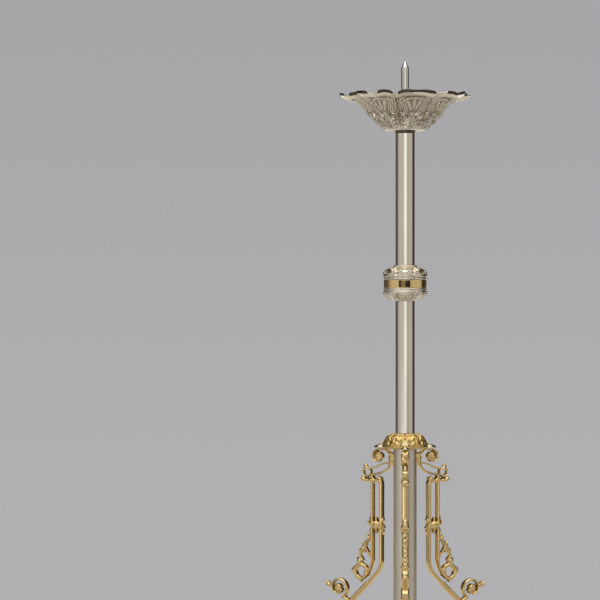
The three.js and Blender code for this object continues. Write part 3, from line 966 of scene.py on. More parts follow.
# Near-black finish of the pan's rolled lip: a painted dark reflection of the polished roll.
LIP_DARK_REFLECTION = MetalFinish(
    "lip_painted_dark_reflection", (0.10, 0.088, 0.07), (0.03, 0.025, 0.02), (0.2, 0.18, 0.15),
    roughness=0.24, texture=Texture.CAST, smudge=0.05, relief=0.01, scale=700.0,
)
BURNISHED_GILT = MetalFinish(
    "burnished_gilt", (1.0, 0.76, 0.37), (0.25, 0.13, 0.03), (1.0, 0.84, 0.5),
    roughness=0.02, texture=Texture.TURNED, smudge=0.0, relief=0.0, scale=2200.0,
)
POLISHED_GILT = MetalFinish(
    "polished_gilt", (0.95, 0.70, 0.33), (0.25, 0.13, 0.03), (1.0, 0.82, 0.48),
    roughness=0.10, texture=Texture.TURNED, smudge=0.04, relief=0.004, scale=2200.0,
)
CAST_GILT = MetalFinish(
    "cast_gilt", (0.95, 0.70, 0.33), (0.27, 0.17, 0.04), (1.0, 0.86, 0.55),
    roughness=0.15, texture=Texture.CAST, reach=8.0, strength=0.85, smudge=0.05, relief=0.01, scale=450.0,
)
SOFT_GILT = MetalFinish(
    "soft_gilt", (0.82, 0.585, 0.235), (0.24, 0.16, 0.03), (0.92, 0.74, 0.38),
    roughness=0.28, texture=Texture.CAST, reach=4.0, strength=0.75, smudge=0.06, relief=0.02, scale=450.0,
)
# Lighter gilt of the crown's wings and bosses: partly burnished gilding, partly a painted highlight.
BRIGHT_GILT = MetalFinish(
    "burnished_leaf_tips_and_painted_highlight", (1.0, 0.87, 0.56), (0.30, 0.19, 0.05), (1.0, 0.93, 0.74),
    roughness=0.12, texture=Texture.CAST, reach=3.0, strength=0.7, smudge=0.04, relief=0.01, scale=450.0,
)
BRIGHT_STEEL = MetalFinish(
    "bright_steel", (0.72, 0.70, 0.66), (0.25, 0.22, 0.18), (0.85, 0.83, 0.80),
    roughness=0.16, texture=Texture.TURNED, smudge=0.05, relief=0.006, scale=2600.0,
)
PLAIN_BRASS = MetalFinish(
    "plain_brass", (0.50, 0.38, 0.20), (0.16, 0.10, 0.04), (0.66, 0.52, 0.28),
    roughness=0.38, texture=Texture.TURNED, reach=2.0, strength=0.4, smudge=0.1, relief=0.012, scale=1500.0,
)
# Near-black finish of the pan's collar: painted shade that the drip pan casts on the stem's top.
COLLAR_PAINTED_SHADE = MetalFinish(
    "collar_painted_shade", (0.15, 0.13, 0.10), (0.04, 0.03, 0.02), (0.3, 0.27, 0.22),
    roughness=0.28, texture=Texture.TURNED, reach=2.0, strength=0.4, smudge=0.06, relief=0.006, scale=1800.0,
)
PRESSED_FELT = FeltFinish("pressed_felt", (0.055, 0.05, 0.045), (0.016, 0.015, 0.014))
PALE_FLOOR = FloorFinish("pale_floor", (0.62, 0.62, 0.625), (0.58, 0.58, 0.585), (0.86, 0.86, 0.85))


def stand_in(piece: bpy.types.Object, node: str, slot: Slot, *finishes: Finish) -> None:
    """Dresses a piece and lets it stand for a node of the frame.

    Args:
        piece: the object.
        node: name of the node that it stands for.
        slot: the record's slot that its finish comes from; not used.
        finishes: its finishes, in the order of its faces' numbers.
    """
    for finish in finishes:
        piece.data.materials.append(finish.material())
    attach(piece, BODY)
    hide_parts(node)
    log.info("%s stands for %s with %d faces", piece.name, node, len(piece.data.polygons))


# Beaten ornament

@dataclass(frozen=True)
class Petal:
    """Where points lie on the petals that an ornament repeats over, in millimetres."""

    middle: np.ndarray  # across, from the middle line
    edge: np.ndarray  # in from the nearer edge
    rise: np.ndarray  # up from the foot


@dataclass(frozen=True)
class PanChasing:
    """Figures beaten into the drip pan's petals, a little different on each."""

    petals: int
    eye_in: float = 8.6  # from a petal's edge to the eye of its volute
    eye_up: float = 25.0
    volute_pitch: float = 3.3
    volute_reach: float = 7.4
    strand_count: int = 4
    strand_gap: float = 2.9
    strand_waist: float = 50.0  # height at which the strands lie nearest to the edge
    shell_foot: float = 30.0
    shell_half: float = 0.62  # half of the shell's spread, in radians
    shell_rays: int = 15
    shell_rim: float = 26.6
    acanthus_high: float = 30.0
    acanthus_lobe: float = 6.0
    vein_gap: float = 4.0
    bud_in: float = 4.2
    bud_up: float = 11.5
    top: float = 62.0
    bead_line: float = 65.5

    def volutes(self, at: Petal) -> np.ndarray:
        """A scroll beside each edge of a petal.

        Args:
            at: where the points lie.

        Returns:
            How far the metal stands out.
        """
        in_line, up_line = at.edge - self.eye_in, at.rise - self.eye_up
        spin = np.hypot(in_line, up_line)
        wind = wound(in_line, up_line, self.volute_pitch)
        rim = 1 - ramp(spin, self.volute_reach, self.volute_reach + 1.4)
        return (1.9 * wind + 1.0 * mound(spin, 1.5)) * rim

    def strands(self, at: Petal) -> np.ndarray:
        """Bowed strands that run up beside each edge, from the volute to the lip.

        Args:
            at: where the points lie.

        Returns:
            How far the metal stands out.
        """
        bow = 2.3 + 5.6 * ((at.rise - self.strand_waist) / 25) ** 2
        out = 0.0
        for number in range(self.strand_count):
            out = out + (1.9 - 0.3 * number) * mound(at.edge - bow - self.strand_gap * number, 0.95)
        spin = np.hypot(at.edge - self.eye_in, at.rise - self.eye_up)
        clear = within(at.rise, 24, self.top, 4)
        return out * clear * ramp(spin, 7.6, 9.2) * (1 - ramp(at.edge, bow + 9.6, bow + 11))

    def shell(self, at: Petal) -> np.ndarray:
        """A rayed shell in the upper half of a petal, with a raised rim.

        Args:
            at: where the points lie.

        Returns:
            How far the metal stands out.
        """
        up_line = at.rise - self.shell_foot
        fan = np.arctan2(at.middle, np.maximum(up_line, 0.01))
        reach = np.hypot(at.middle, up_line)
        spread = 1 - ramp(np.abs(fan), self.shell_half, self.shell_half + 0.16)
        spread = spread * (at.rise > self.shell_foot)
        rays = np.cos(fan * self.shell_rays)
        out = (0.6 + 0.5 * rays) * within(reach, 8, 22 + 1.6 * rays, 1.4) * spread
        return out + 1.5 * mound(reach - self.shell_rim, 1.2) * spread + 1.6 * mound(reach, 3.0)

    def acanthus(self, at: Petal) -> np.ndarray:
        """A veined leaf with lobes in the lower half of a petal.

        Args:
            at: where the points lie.

        Returns:
            How far the metal stands out.
        """
        share = np.clip(at.rise / self.acanthus_high, 0, 1)
        lobes = 1 + 0.24 * np.cos(FULL_TURN * at.rise / self.acanthus_lobe)
        blade = (8.6 * np.sin(math.pi * share**0.8) + 0.5) * lobes
        veins = 1 + 0.45 * np.cos(FULL_TURN * (at.rise + 1.0 * np.abs(at.middle)) / self.vein_gap)
        return 1.5 * ramp(blade - np.abs(at.middle), 0, 1.3) * veins * within(at.rise, 3, 29, 2)

    def buds(self, at: Petal) -> np.ndarray:
        """A small flower in each lower corner of a petal.

        Args:
            at: where the points lie.

        Returns:
            How far the metal stands out.
        """
        in_line, up_line = at.edge - self.bud_in, at.rise - self.bud_up
        lobes = 0.6 + 0.4 * np.cos(5 * np.arctan2(up_line, in_line))
        return 1.5 * lobes * (1 - ramp(np.hypot(in_line, up_line), 2.6, 4.4))

    def relief(
        self, angle: np.ndarray, across: np.ndarray, rise: np.ndarray, radius: np.ndarray
    ) -> np.ndarray:
        """All of a petal's ornament.

        Args:
            angle: from the front, in radians.
            across: from -1 at one side of the petal to 1 at the other.
            rise: length up the wall from the bowl's floor, in millimetres.
            radius: distance from the stem's axis.

        Returns:
            How far the metal stands out.
        """
        half = radius * math.tan(math.pi / self.petals)
        rise = rise + 1.6 * np.sin(7 * angle + 0.4) * within(rise, 8, 60, 5)
        middle = across * half + 1.1 * np.sin(5 * angle + 1.3) * np.sin(rise / 9)
        at = Petal(middle, np.maximum(half - np.abs(middle), 0.0), rise)
        figures = (self.volutes, self.strands, self.shell, self.acanthus, self.buds)
        out = np.maximum.reduce([figure(at) for figure in figures])
        dots_across = np.cos(2.1 * middle + 1.9 * np.sin(rise))
        dots_up = np.cos(1.9 * rise + 2.3 * np.sin(0.7 * middle))
        stipple = 0.5 * dots_across * dots_up
        out = out + stipple * (1 - 0.4 * ramp(out, 0.3, 1.0)) * within(rise, 7, 61, 3)
        out = out - 0.8 * mound(middle, 0.6) * within(rise, 4, 30, 4)
        out = out - 0.3 * mound(at.edge, 0.8) * within(rise, 8, self.top, 5)
        out = out + 1.0 * np.abs(np.cos(across * 2.5 * math.pi)) * within(rise, 1.5, 5.5, 1.5)
        return out + 1.2 * mound(rise - self.bead_line - 1.5 * np.cos(across * math.pi / 2), 0.9)


@dataclass(frozen=True)
class CupChasing:
    """Figures beaten into a cup of the knop, from its rim to its neck."""

    end: float  # length of the beaten wall, in millimetres
    lobes: int = 8
    belly: float = 24.0  # radius at which the lobes are measured
    volute_up: float = 6.0
    volute_pitch: float = 2.2
    vein_gap: float = 2.8
    fan_rays: int = 9
    depth: float = 1.1
    ground: float = 0.3  # how far the plain ground lies back

    def relief(self, angle: np.ndarray, length: np.ndarray) -> np.ndarray:
        """All of the cup's ornament.

        Args:
            angle: from the front, in radians.
            length: along the profile, from the rim.

        Returns:
            How far the metal stands out.
        """
        across = across_petals(angle, self.lobes)
        wide = math.pi * self.belly / self.lobes
        narrowing = 1 - 0.35 * ramp(length, 6, self.end)
        middle = across * wide * narrowing
        edge = wide * narrowing - np.abs(middle)
        out = 0.8 * np.cos(across * math.pi / 2) - 0.8
        out = out - 0.3 * mound(edge, 0.8)
        aside = np.abs(middle) - wide * 0.5
        spin = np.hypot(aside, length - self.volute_up)
        wind = wound(aside, length - self.volute_up, self.volute_pitch)
        out = out + 1.7 * wind * (1 - ramp(spin, 3.2, 4.6)) + 0.8 * mound(spin, 0.9)
        blade = 3.6 * np.sin(math.pi * np.clip(length / self.end, 0, 1) ** 0.8) + 0.2
        worked = ramp(length, 10, 13)
        veins = 1 + 0.3 * worked * np.cos(FULL_TURN * (length + 0.8 * np.abs(middle)) / self.vein_gap)
        out = out + 1.5 * ramp(blade - np.abs(middle), 0, 1.0) * veins
        out = out - 0.7 * worked * mound(middle, 0.5)
        foot = self.end * 0.45
        fan = np.arctan2(middle, np.maximum(length - foot, 0.01))
        reach = np.hypot(middle, length - foot)
        out = out + 0.45 * np.cos(fan * self.fan_rays) * within(reach, 4, 8, 1.5) * (length > foot)
        field = within(length, 4.6, self.end - 1.5, 1.4)
        beads = np.maximum(np.cos(angle * self.lobes * 5), 0) ** 0.5 * mound(length - self.end + 0.4, 0.9)
        return (self.depth * np.tanh(out / self.depth) - self.ground) * field + 0.5 * beads


# Sub-assemblies

@dataclass
class CandleHolder:
    """Pricket, candle seat, petalled drip pan and the collar under it."""

    petals: int = 8
    first_petal: float = 11.5  # degrees from the front to the middle of a petal
    columns: int = 64  # of one petal
    wall: float = 1.7
    floor_radius: float = 27.0
    lip_start: float = 66.0
    roll_start: float = 80.0
    lip_end: float = 84.0
    petal_reach: float = 6.0
    petal_swell: float = 1.3
    petal_lift: float = 3.4
    lip_drop: float = 1.4
    roll_thick: float = 3.3
    plain_thick: float = 0.8
    depth: float = 1.1
    broad_lip: float = 40.0  # degrees
    narrow_lip: float = 20.0
    plain_lips: tuple[Spot, ...] = (
        (-172, -165), (-148, -141), (-128, -124), (-104, -100), (-67, -64), (-33, -26), (-11, -8), (31, 40),
        (86, 93), (110, 118), (140, 146), (160, 165),
    )  # degrees from the front between which the lip has no roll, and so no painted dark reflection

    def pricket(self) -> Surface:
        """The spike on its round nut, with shallow grooves round the top of the nut's bore."""
        size = Extent.of("pricket")
        low, tip, nut = size.bottom, size.top, size.radius
        inside = [(0.0, low + 14), (BORE, low + 14)]
        profile = eased([
            (BORE, low), (nut, low), (nut, low + 5.6), (nut - 1.2, low + 7), (7.2, low + 13),
            (5.5, low + 20), (5.4, tip - 9.2), (0.9, tip - 0.9), (0.0, tip),
        ], 0.6)

        def knurl(angle: np.ndarray, length: np.ndarray) -> np.ndarray:
            """Twenty-four shallow grooves."""
            return -0.35 * np.cos(angle * 12) ** 8 * within(length, 5.6, 9.4, 0.6)

        return revolved(np.vstack([inside, profile]), 96, knurl)

    def candle_seat(self) -> Surface:
        """Round plate with a dished middle and two turned grooves that grip the candle's foot."""
        size = Extent.of("candle_seat")
        low, top, radius = size.bottom, size.top, size.radius
        return lathed([
            (BORE, low), (radius - 4, low), (radius, low + 1), (radius, top), (radius - 1.5, top),
            (radius - 2.1, top - 0.5), (radius - 2.7, top), (15.5, top), (15.0, top - 0.4), (14.5, top),
            (11.0, top), (11.0, top - 0.8), (BORE, top - 0.8),
        ], 0.3, 96)

    def pan_profile(self) -> np.ndarray:
        """Underside of the pan from its bore to its lip, as radius and rise."""
        knee = self.floor_radius - 3.5
        bowl = flowing([
            (knee, 0.0), (self.floor_radius - 0.5, 0.9), (38.3, 10.3), (53.0, 25.4),
            (64.7, 38.6), (72.2, 41.8), (self.roll_start, 43.8), (self.lip_end, 46.0),
        ], 112)
        flat = evenly(np.array([(BORE, 0.0), (knee, 0.0)]), 8)
        return np.vstack([flat[:-1], bowl])

    def drip_pan(self) -> bpy.types.Object:
        """The pan: a chased bowl of petals, each with a lip that is turned over at its rim."""
        profile = self.pan_profile()
        radius, rise = profile[:, :1], profile[:, 1:]
        length = lengths(profile)[:, None] - (self.floor_radius - BORE)
        run = directions(profile)
        out_r, out_z = run[:, 1:], -run[:, :1]
        angle = whole_turn(self.petals * self.columns)
        across = across_petals(angle - math.radians(self.first_petal), self.petals)
        outward, upward = self.petalled(radius, angle, across)
        chased = PanChasing(self.petals).relief(angle, across, length, radius)
        relief = self.depth * (chased - 0.9 * within(length, 4, 62, 4))
        under_r = radius + outward + relief * out_r
        under_z = rise + upward + relief * out_z
        flat = self.beaten_flat(angle)
        roll = (self.roll_thick + 0.4 * np.sin(17 * angle + 1.2)) * (1 - flat) + self.plain_thick * flat
        rolled = ramp(radius, self.roll_start, self.lip_end)
        thick = self.wall + (roll - self.wall) * rolled
        over_r = under_r - thick * out_r * (1 - rolled)
        over_z = under_z - thick * (out_z - (1 + out_z) * rolled)
        share = np.linspace(0, 1, 7)[1:-1, None]
        rim_r = under_r[-1:] + 0.7 * np.sin(math.pi * share)
        rim_z = under_z[-1:] * (1 - share) + over_z[-1:] * share
        inside = slice(None, None, -2)
        rows_r = np.vstack([under_r, rim_r, over_r[inside]])
        rows_z = np.vstack([under_z, rim_z, over_z[inside]]) + Extent.of("drip_pan").bottom
        # the sunk ground is darkened by tarnish and painted shade through the recess
        sunk = (1 - ramp(chased, 0.1, 1.1)) * within(length, 7, 61, 2)
        recess = np.vstack([sunk, np.zeros_like(rim_r), 0.5 * sunk[inside]])
        pan = skin("chased_drip_pan", Surface.woven(about_stem(rows_r, angle, rows_z), True, recess), 60.0)
        # faces of the rolled lip take the near-black finish: a painted dark reflection
        rim = range(len(profile) - 3, len(profile) + len(share))
        for face in pan.data.polygons:
            row, column = divmod(face.index, angle.size)
            face.material_index = int(row in rim and flat[0, column] < 0.5)
        return pan

    def petalled(
        self, radius: np.ndarray, angle: np.ndarray, across: np.ndarray
    ) -> tuple[np.ndarray, np.ndarray]:
        """Bends a plain bowl into petals with waved lips.

        Args:
            radius: distance from the stem's axis.
            angle: from the front, in radians.
            across: from -1 at one side of a petal to 1 at the other.

        Returns:
            How far the points move outwards, and how far upwards.
        """
        crown = np.cos(across * math.pi / 2)
        bowl = ramp(radius, self.floor_radius, self.lip_start)
        lip = ramp(radius, self.lip_start - 5, self.lip_end)
        waver = 0.4 * np.sin(13 * angle + 0.6) + 0.35 * np.sin(21 * angle + 2.1)
        outward = lip * self.petal_reach * (2 * np.sqrt(crown) - 1)
        outward = outward + bowl * self.petal_swell * (crown - 0.6)
        return outward, lip * (self.petal_lift * self.lips(angle) - self.lip_drop + waver)

    def lips(self, angle: np.ndarray) -> np.ndarray:
        """Height of the rim: broad lips with narrower ones between them.

        Args:
            angle: from the front, in radians.

        Returns:
            The height, from 0 to 1.
        """
        both = self.broad_lip + self.narrow_lip
        place = np.degrees(angle) - self.first_petal + self.broad_lip / 2
        place = place - both * np.floor(place / both)
        broad = np.sin(math.pi * np.clip(place / self.broad_lip, 0, 1)) ** 0.6
        narrow = 0.95 * np.sin(math.pi * np.clip((place - self.broad_lip) / self.narrow_lip, 0, 1)) ** 0.6
        return np.maximum(broad, narrow)

    def beaten_flat(self, angle: np.ndarray) -> np.ndarray:
        """Tells where the lip is plain.

        Args:
            angle: from the front, in radians.

        Returns:
            1 where the lip is plain, and 0 along its roll.
        """
        flat = np.zeros_like(angle)
        for start, end in self.plain_lips:
            middle = math.radians((start + end) / 2)
            apart = np.degrees(np.abs(np.angle(np.exp(1j * (angle - middle)))))
            flat = np.maximum(flat, 1 - ramp(apart, (end - start) / 2, (end - start) / 2 + 2.5))
        return flat

    def collar(self) -> Surface:
        """Moulded ring that seats the pan on the upper tube."""
        size = Extent.of("pan_collar")
        low, top, wide = size.bottom, size.top, size.radius
        return lathed([
            (BORE, low), (SPIGOT, low), (SPIGOT, top - 3), (wide - 0.9, top - 3), (wide - 0.2, top - 2.2),
            (wide - 0.7, top - 1.4), (wide, top - 0.7), (wide, top), (BORE, top),
        ], 0.25, 96)

    def build(self) -> None:
        """Makes and dresses the four pieces."""
        stand_in(skin("turned_pricket", self.pricket()), "pricket", Slot.STEEL, BRIGHT_STEEL)
        stand_in(skin("dished_candle_seat", self.candle_seat()), "candle_seat", Slot.SILVER, SATIN_SILVER)
        stand_in(self.drip_pan(), "drip_pan", Slot.SILVER, CHASED_SILVER, LIP_DARK_REFLECTION)
        # the collar's near-black finish is painted shade under the pan
        stand_in(skin("moulded_pan_collar", self.collar()), "pan_collar", Slot.BRASS, COLLAR_PAINTED_SHADE)


@dataclass
class StemTubes:
    """The two slim tubes of the stem."""

    wall: float = 1.2

    def build(self) -> None:
        """Makes and dresses both tubes."""
        for node in ("upper_tube", "lower_tube"):
            stand_in(skin(f"polished_{node}", tube(node, self.wall)), node, Slot.SILVER, POLISHED_SILVER)


@dataclass
class Knop:
    """Knop: two beaten cups, two thin rings and the gilt band between them."""

    around: int = 320
    wall: float = 1.6
    band_wall: float = 3.0
    beaten_share: float = 1.42  # length of a cup's beaten wall, as a share of its height

    def cup(self, node: str, rim: float, sign: float) -> None:
        """Makes and dresses one cup of the knop.

        Args:
            node: the node that the cup stands for.
            rim: height of its open rim.
            sign: 1 where the cup stands above its rim, and -1 where it hangs below.
        """
        size = Extent.of(node)
        wide = size.radius
        high = size.height - SPIGOT_HIGH
        end = high * self.beaten_share
        outer = flowing([
            (wide - 0.9, 0.0), (wide - 0.2, high * 0.14), (wide - 2.3, high * 0.5), (wide - 6.6, high * 0.74),
            (wide - 13.6, high * 0.88), (wide - 14.6, high * 0.94), (wide - 14.9, high * 0.985),
        ], 56)
        inner = [
            (wide - 15.1, high), *spigot(high, high * 0.7), (wide - 14.6, high * 0.7),
            (wide - self.wall - 2.6, high * 0.42), (wide - self.wall - 1.2, 0.0),
        ]
        profile = np.vstack([outer, eased(inner, 0.3)])
        surface = revolved(profile, self.around, CupChasing(end).relief, loop=True, ground=(-1.4, -0.1))
        # the recess carries tarnish and painted shade, only inside the beaten field
        surface.recess *= within(np.repeat(lengths(profile), self.around), 4.8, end - 1, 0.8)
        surface.points[:, 2] = rim + sign * surface.points[:, 2]
        stand_in(skin(f"beaten_{node}", surface, 60.0), node, Slot.SILVER, CHASED_SILVER)

    def edged(self, size: Extent, inner: float, broken: Spot, soft: float, around: int) -> Surface:
        """A flat ring or band whose outer edges are broken.

        Args:
            size: its extent.
            inner: radius of its hole.
            broken: how far each outer edge is cut back, inwards and in height.
            soft: radius that its corners are rounded with.
            around: how many columns the surface has.

        Returns:
            A closed surface.
        """
        low, top, wide = size.bottom, size.top, size.radius
        return lathed([
            (inner, low), (wide - broken[0], low), (wide, low + broken[1]), (wide, top - broken[1]),
            (wide - broken[0], top), (inner, top),
        ], soft, around)

    def ring(self, node: str) -> Surface:
        """A thin turned ring with a rounded edge."""
        return self.edged(Extent.of(node), BORE, (0.8, 0.7), 0.6, 160)

    def band(self) -> Surface:
        """The gilt band, with broken edges."""
        size = Extent.of("knop_band")
        return self.edged(size, size.radius - self.band_wall, (0.4, 0.4), 0.3, 192)

    def build(self) -> None:
        """Makes and dresses the five pieces."""
        self.cup("knop_upper_cup", Extent.of("knop_upper_cup").bottom, 1.0)
        self.cup("knop_lower_cup", Extent.of("knop_lower_cup").top, -1.0)
        for node in ("knop_upper_ring", "knop_lower_ring"):
            stand_in(skin(f"turned_{node}", self.ring(node)), node, Slot.SILVER, POLISHED_SILVER)
        stand_in(skin("polished_knop_band", self.band()), "knop_band", Slot.GILT, BURNISHED_GILT)


@dataclass
class Crown:
    """Domed collar of leaves over the column's top, with a plump leaf over each leg."""

    leaves: int = 12
    around: int = 384
    wall: float = 2.2
    dome_radius: float = 31.2
    leaf_girth: float = 27.0  # radius at which the leaves are measured
    neck_beads: int = 30
    depth: float = 1.2
    wing_root: float = 22.0
    wing_shoulder: float = 33.0
    wing_tip: float = 49.0
    wing_half: float = 8.0

    def leafage(self, angle: np.ndarray, length: np.ndarray) -> np.ndarray:
        """Relief of the dome: upright leaves over a gadrooned rim, and beads round the neck.

        Args:
            angle: from the front, in radians.
            length: along the profile, from the rim up.

        Returns:
            How far the metal stands out.
        """
        across = across_petals(angle, self.leaves)
        middle = across * math.pi * self.leaf_girth / self.leaves
        field = within(length, 7.0, 26, 2.6)
        blade = (6.4 - 4.6 * ramp(length, 13, 27)) * ramp(length, 0, 6) * (1 + 0.16 * np.cos(length * 0.95))
        lobes = 1 + 0.16 * np.cos(FULL_TURN * (length + 0.8 * np.abs(middle)) / 9.0)
        out = 1.5 * ramp(blade - np.abs(middle), -0.6, 3.2) * lobes - 1.0
        out = out - 0.7 * mound(middle, 1.0) * (1 - ramp(length, 16, 20))
        between = np.hypot((across - np.sign(across)) * 7, (length - 17) * 0.8)
        out = out + 0.9 * mound(between, 3.6)
        rim = 0.7 * np.abs(np.cos(angle * self.leaves)) * within(length, 0.6, 2.6, 0.5)
        beads = np.maximum(np.cos(angle * self.neck_beads), 0) ** 0.5 * mound(length - 27.5, 0.9)
        return self.depth * np.tanh(out / self.depth) * field + rim + 0.7 * beads

    def dome(self, rim: float, high: float) -> Surface:
        """The domed collar itself.

        Args:
            rim: height of the rim above the floor.
            high: height of the dome.

        Returns:
            A closed surface.
        """
        wide = self.dome_radius
        roof = high - 4.2
        outer = flowing([
            (wide - 0.8, 0.0), (wide, high * 0.2), (wide - 2.2, high * 0.5), (wide - 6.6, high * 0.8),
            (wide - 12.4, high * 0.985),
        ], 72)
        inner = [
            (wide - 15, high), *spigot(high, roof), (wide - 10.4, roof), (wide - 5.2, high * 0.5),
            (wide - self.wall - 0.8, 0.0),
        ]
        profile = np.vstack([outer, eased(inner, 0.3)]) + (0.0, rim)
        surface = revolved(profile, self.around, self.leafage, loop=True, ground=(-1.5, -0.1))
        # the recess carries tarnish and painted shade, only among the leaves
        surface.recess *= within(np.repeat(lengths(profile), self.around), 8, 26, 1.5)
        return surface

    def wing(self, rim: float) -> list[Surface]:
        """One plump leaf with a boss at its root, drawn along +X.

        Args:
            rim: height of the crown's rim.

        Returns:
            Its closed surfaces.
        """
        turn = whole_turn(40)
        reach = self.wing_root + (self.wing_tip - self.wing_root) * np.linspace(0, 1, 56)[:, None]
        beyond = np.clip((reach - self.wing_shoulder) / (self.wing_tip - self.wing_shoulder), 0, 1)
        half = self.wing_half * np.sqrt(1 - 0.985 * beyond**2)
        plump = 5.0 * np.sqrt(1 - 0.95 * beyond**2) + 3.0 * (1 - ramp(reach, self.wing_root, 30))
        across, side = np.cos(turn), np.sin(turn)
        lift = np.where(side > 0, 0.4 + plump * side**2, -0.2 * np.abs(side))
        grid = lattice(reach, half * across, rim + 0.2 + lift)
        start = np.array([self.wing_root, 0.0, rim + 4.0])
        end = np.array([self.wing_tip, 0.0, rim + 0.7])
        ends = [np.tile(point, (1, turn.size, 1)) for point in (start, end)]
        return [Surface.woven(np.vstack([ends[0], grid, ends[1]])), self.boss(rim + 6.0)]

    def boss(self, height: float) -> Surface:
        """A round, nearly flat boss at a wing's root, facing along +X.

        Args:
            height: its middle above the floor.

        Returns:
            A closed surface.
        """
        tilt = 0.09
        face = eased([
            (0.0, 25.0), (4.0, 25.0), (4.4, 34.8), (4.1, 35.2), (3.0, 35.34), (1.5, 35.42), (0.0, 35.44),
        ], 0.2)
        upright = revolved(face, 48)
        across, along, out = upright.points.T
        return Surface(np.column_stack([out - tilt * across, along, across + height]), upright.faces)

    def build(self) -> None:
        """Makes and dresses the crown, with its wings and bosses in a lighter gilt than its dome, partly
        burnished and partly a painted highlight.
        """
        size = Extent.of("crown")
        dome = self.dome(size.bottom, size.height - SPIGOT_HIGH)
        parts = [dome]
        for number in range(3):
            parts += [part.turned(-90 + 120 * number) for part in self.wing(size.bottom)]
        piece = skin("leafed_crown", Surface.joined(parts), 60.0)
        # wings and bosses take the lighter gilt: a painted highlight on burnished gilding
        for face in piece.data.polygons:
            face.material_index = int(face.index >= len(dome.faces))
        stand_in(piece, "crown", Slot.GILT, SOFT_GILT, BRIGHT_GILT)


@dataclass
class Column:
    """Wide tube between the legs, with what closes it above and below."""

    wall: float = 1.5
    gadroons: int = 18
    flutes: int = 12

    def ferrule(self) -> Surface:
        """Turned moulding that closes the column's foot, with a gadrooned swell."""
        size = Extent.of("column_ferrule")
        low, top, wide = size.bottom, size.top, size.radius
        foot = eased([(BORE, low), (13.4, low), (14.0, low + 0.8), (14.0, low + 4.6), (13.2, low + 5.2)])
        swell = flowing([
            (14.0, low + 6), (16.0, low + 9.5), (19.6, low + 12.5), (wide - 0.3, low + 17.5),
        ], 22)
        neck = eased([
            (wide - 1.1, low + 18.2), (wide, low + 19.2), (wide, low + 22.4), (wide - 1.0, low + 23.4),
            (19.4, low + 27.4), (18.0, low + 28.4), (18.6, low + 29.4), (18.6, top), (BORE, top),
        ], 0.5)
        profile = np.vstack([foot, swell, neck])
        whole = lengths(profile)[-1]
        start, end = whole * 0.22, whole * 0.38

        def gadroon(angle: np.ndarray, length: np.ndarray) -> np.ndarray:
            """Grooves between the lobes of the swell."""
            lobes = np.abs(np.cos(angle * self.gadroons / 2)) - 1.0
            return lobes * within(length, start + 2, end - 1, 2)

        return revolved(profile, 288, gadroon, loop=True)

    def finial(self) -> Surface:
        """Turned pendant, with a fluted swell and a drop at its tip."""
        size = Extent.of("drop_finial")
        low, top, wide = size.bottom, size.top, size.radius
        outer = flowing([
            (0.0, low), (3.2, low + 1.2), (4.6, low + 4.2), (3.5, low + 7.6), (3.3, low + 9.6),
            (6.4, low + 14.5), (12.0, low + 22), (15.6, low + 29), (wide - 0.3, low + 35),
            (15.4, low + 41.5), (11.8, low + 46.6), (9.0, low + 49.0), (8.9, low + 50.6), (11.3, low + 53.4),
        ], 110)
        inner = eased([
            (11.6, top - 1.0), (11.5, top), (BORE, top), (BORE, low + 30), (0.0, low + 30),
        ], 0.4)

        def fluting(angle: np.ndarray, length: np.ndarray) -> np.ndarray:
            """Grooves between the flutes of the swell."""
            return 0.9 * (np.abs(np.cos(angle * self.flutes / 2)) - 1.0) * within(length, 22, 44, 8)

        return revolved(np.vstack([outer, inner]), 240, fluting)

    def build(self) -> None:
        """Makes and dresses the column's pieces, and dresses the inner ones, whose solids stay."""
        column = skin("satin_column_tube", tube("column_tube", self.wall))
        stand_in(column, "column_tube", Slot.SILVER, SATIN_SILVER)
        ferrule = skin("gadrooned_column_ferrule", self.ferrule(), 60.0)
        stand_in(ferrule, "column_ferrule", Slot.GILT, POLISHED_GILT)
        finial = skin("fluted_drop_finial", self.finial(), 60.0)
        stand_in(finial, "drop_finial", Slot.GILT, POLISHED_GILT)
        dressed = {
            "column_top_plug": PLAIN_BRASS, "column_foot_plug": PLAIN_BRASS, "tie_rod": BRIGHT_STEEL,
        }
        for node, finish in dressed.items():
            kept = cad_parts[node]
            kept.data.materials.clear()
            kept.data.materials.append(finish.material())
            log.info("%s keeps its own solid", node)


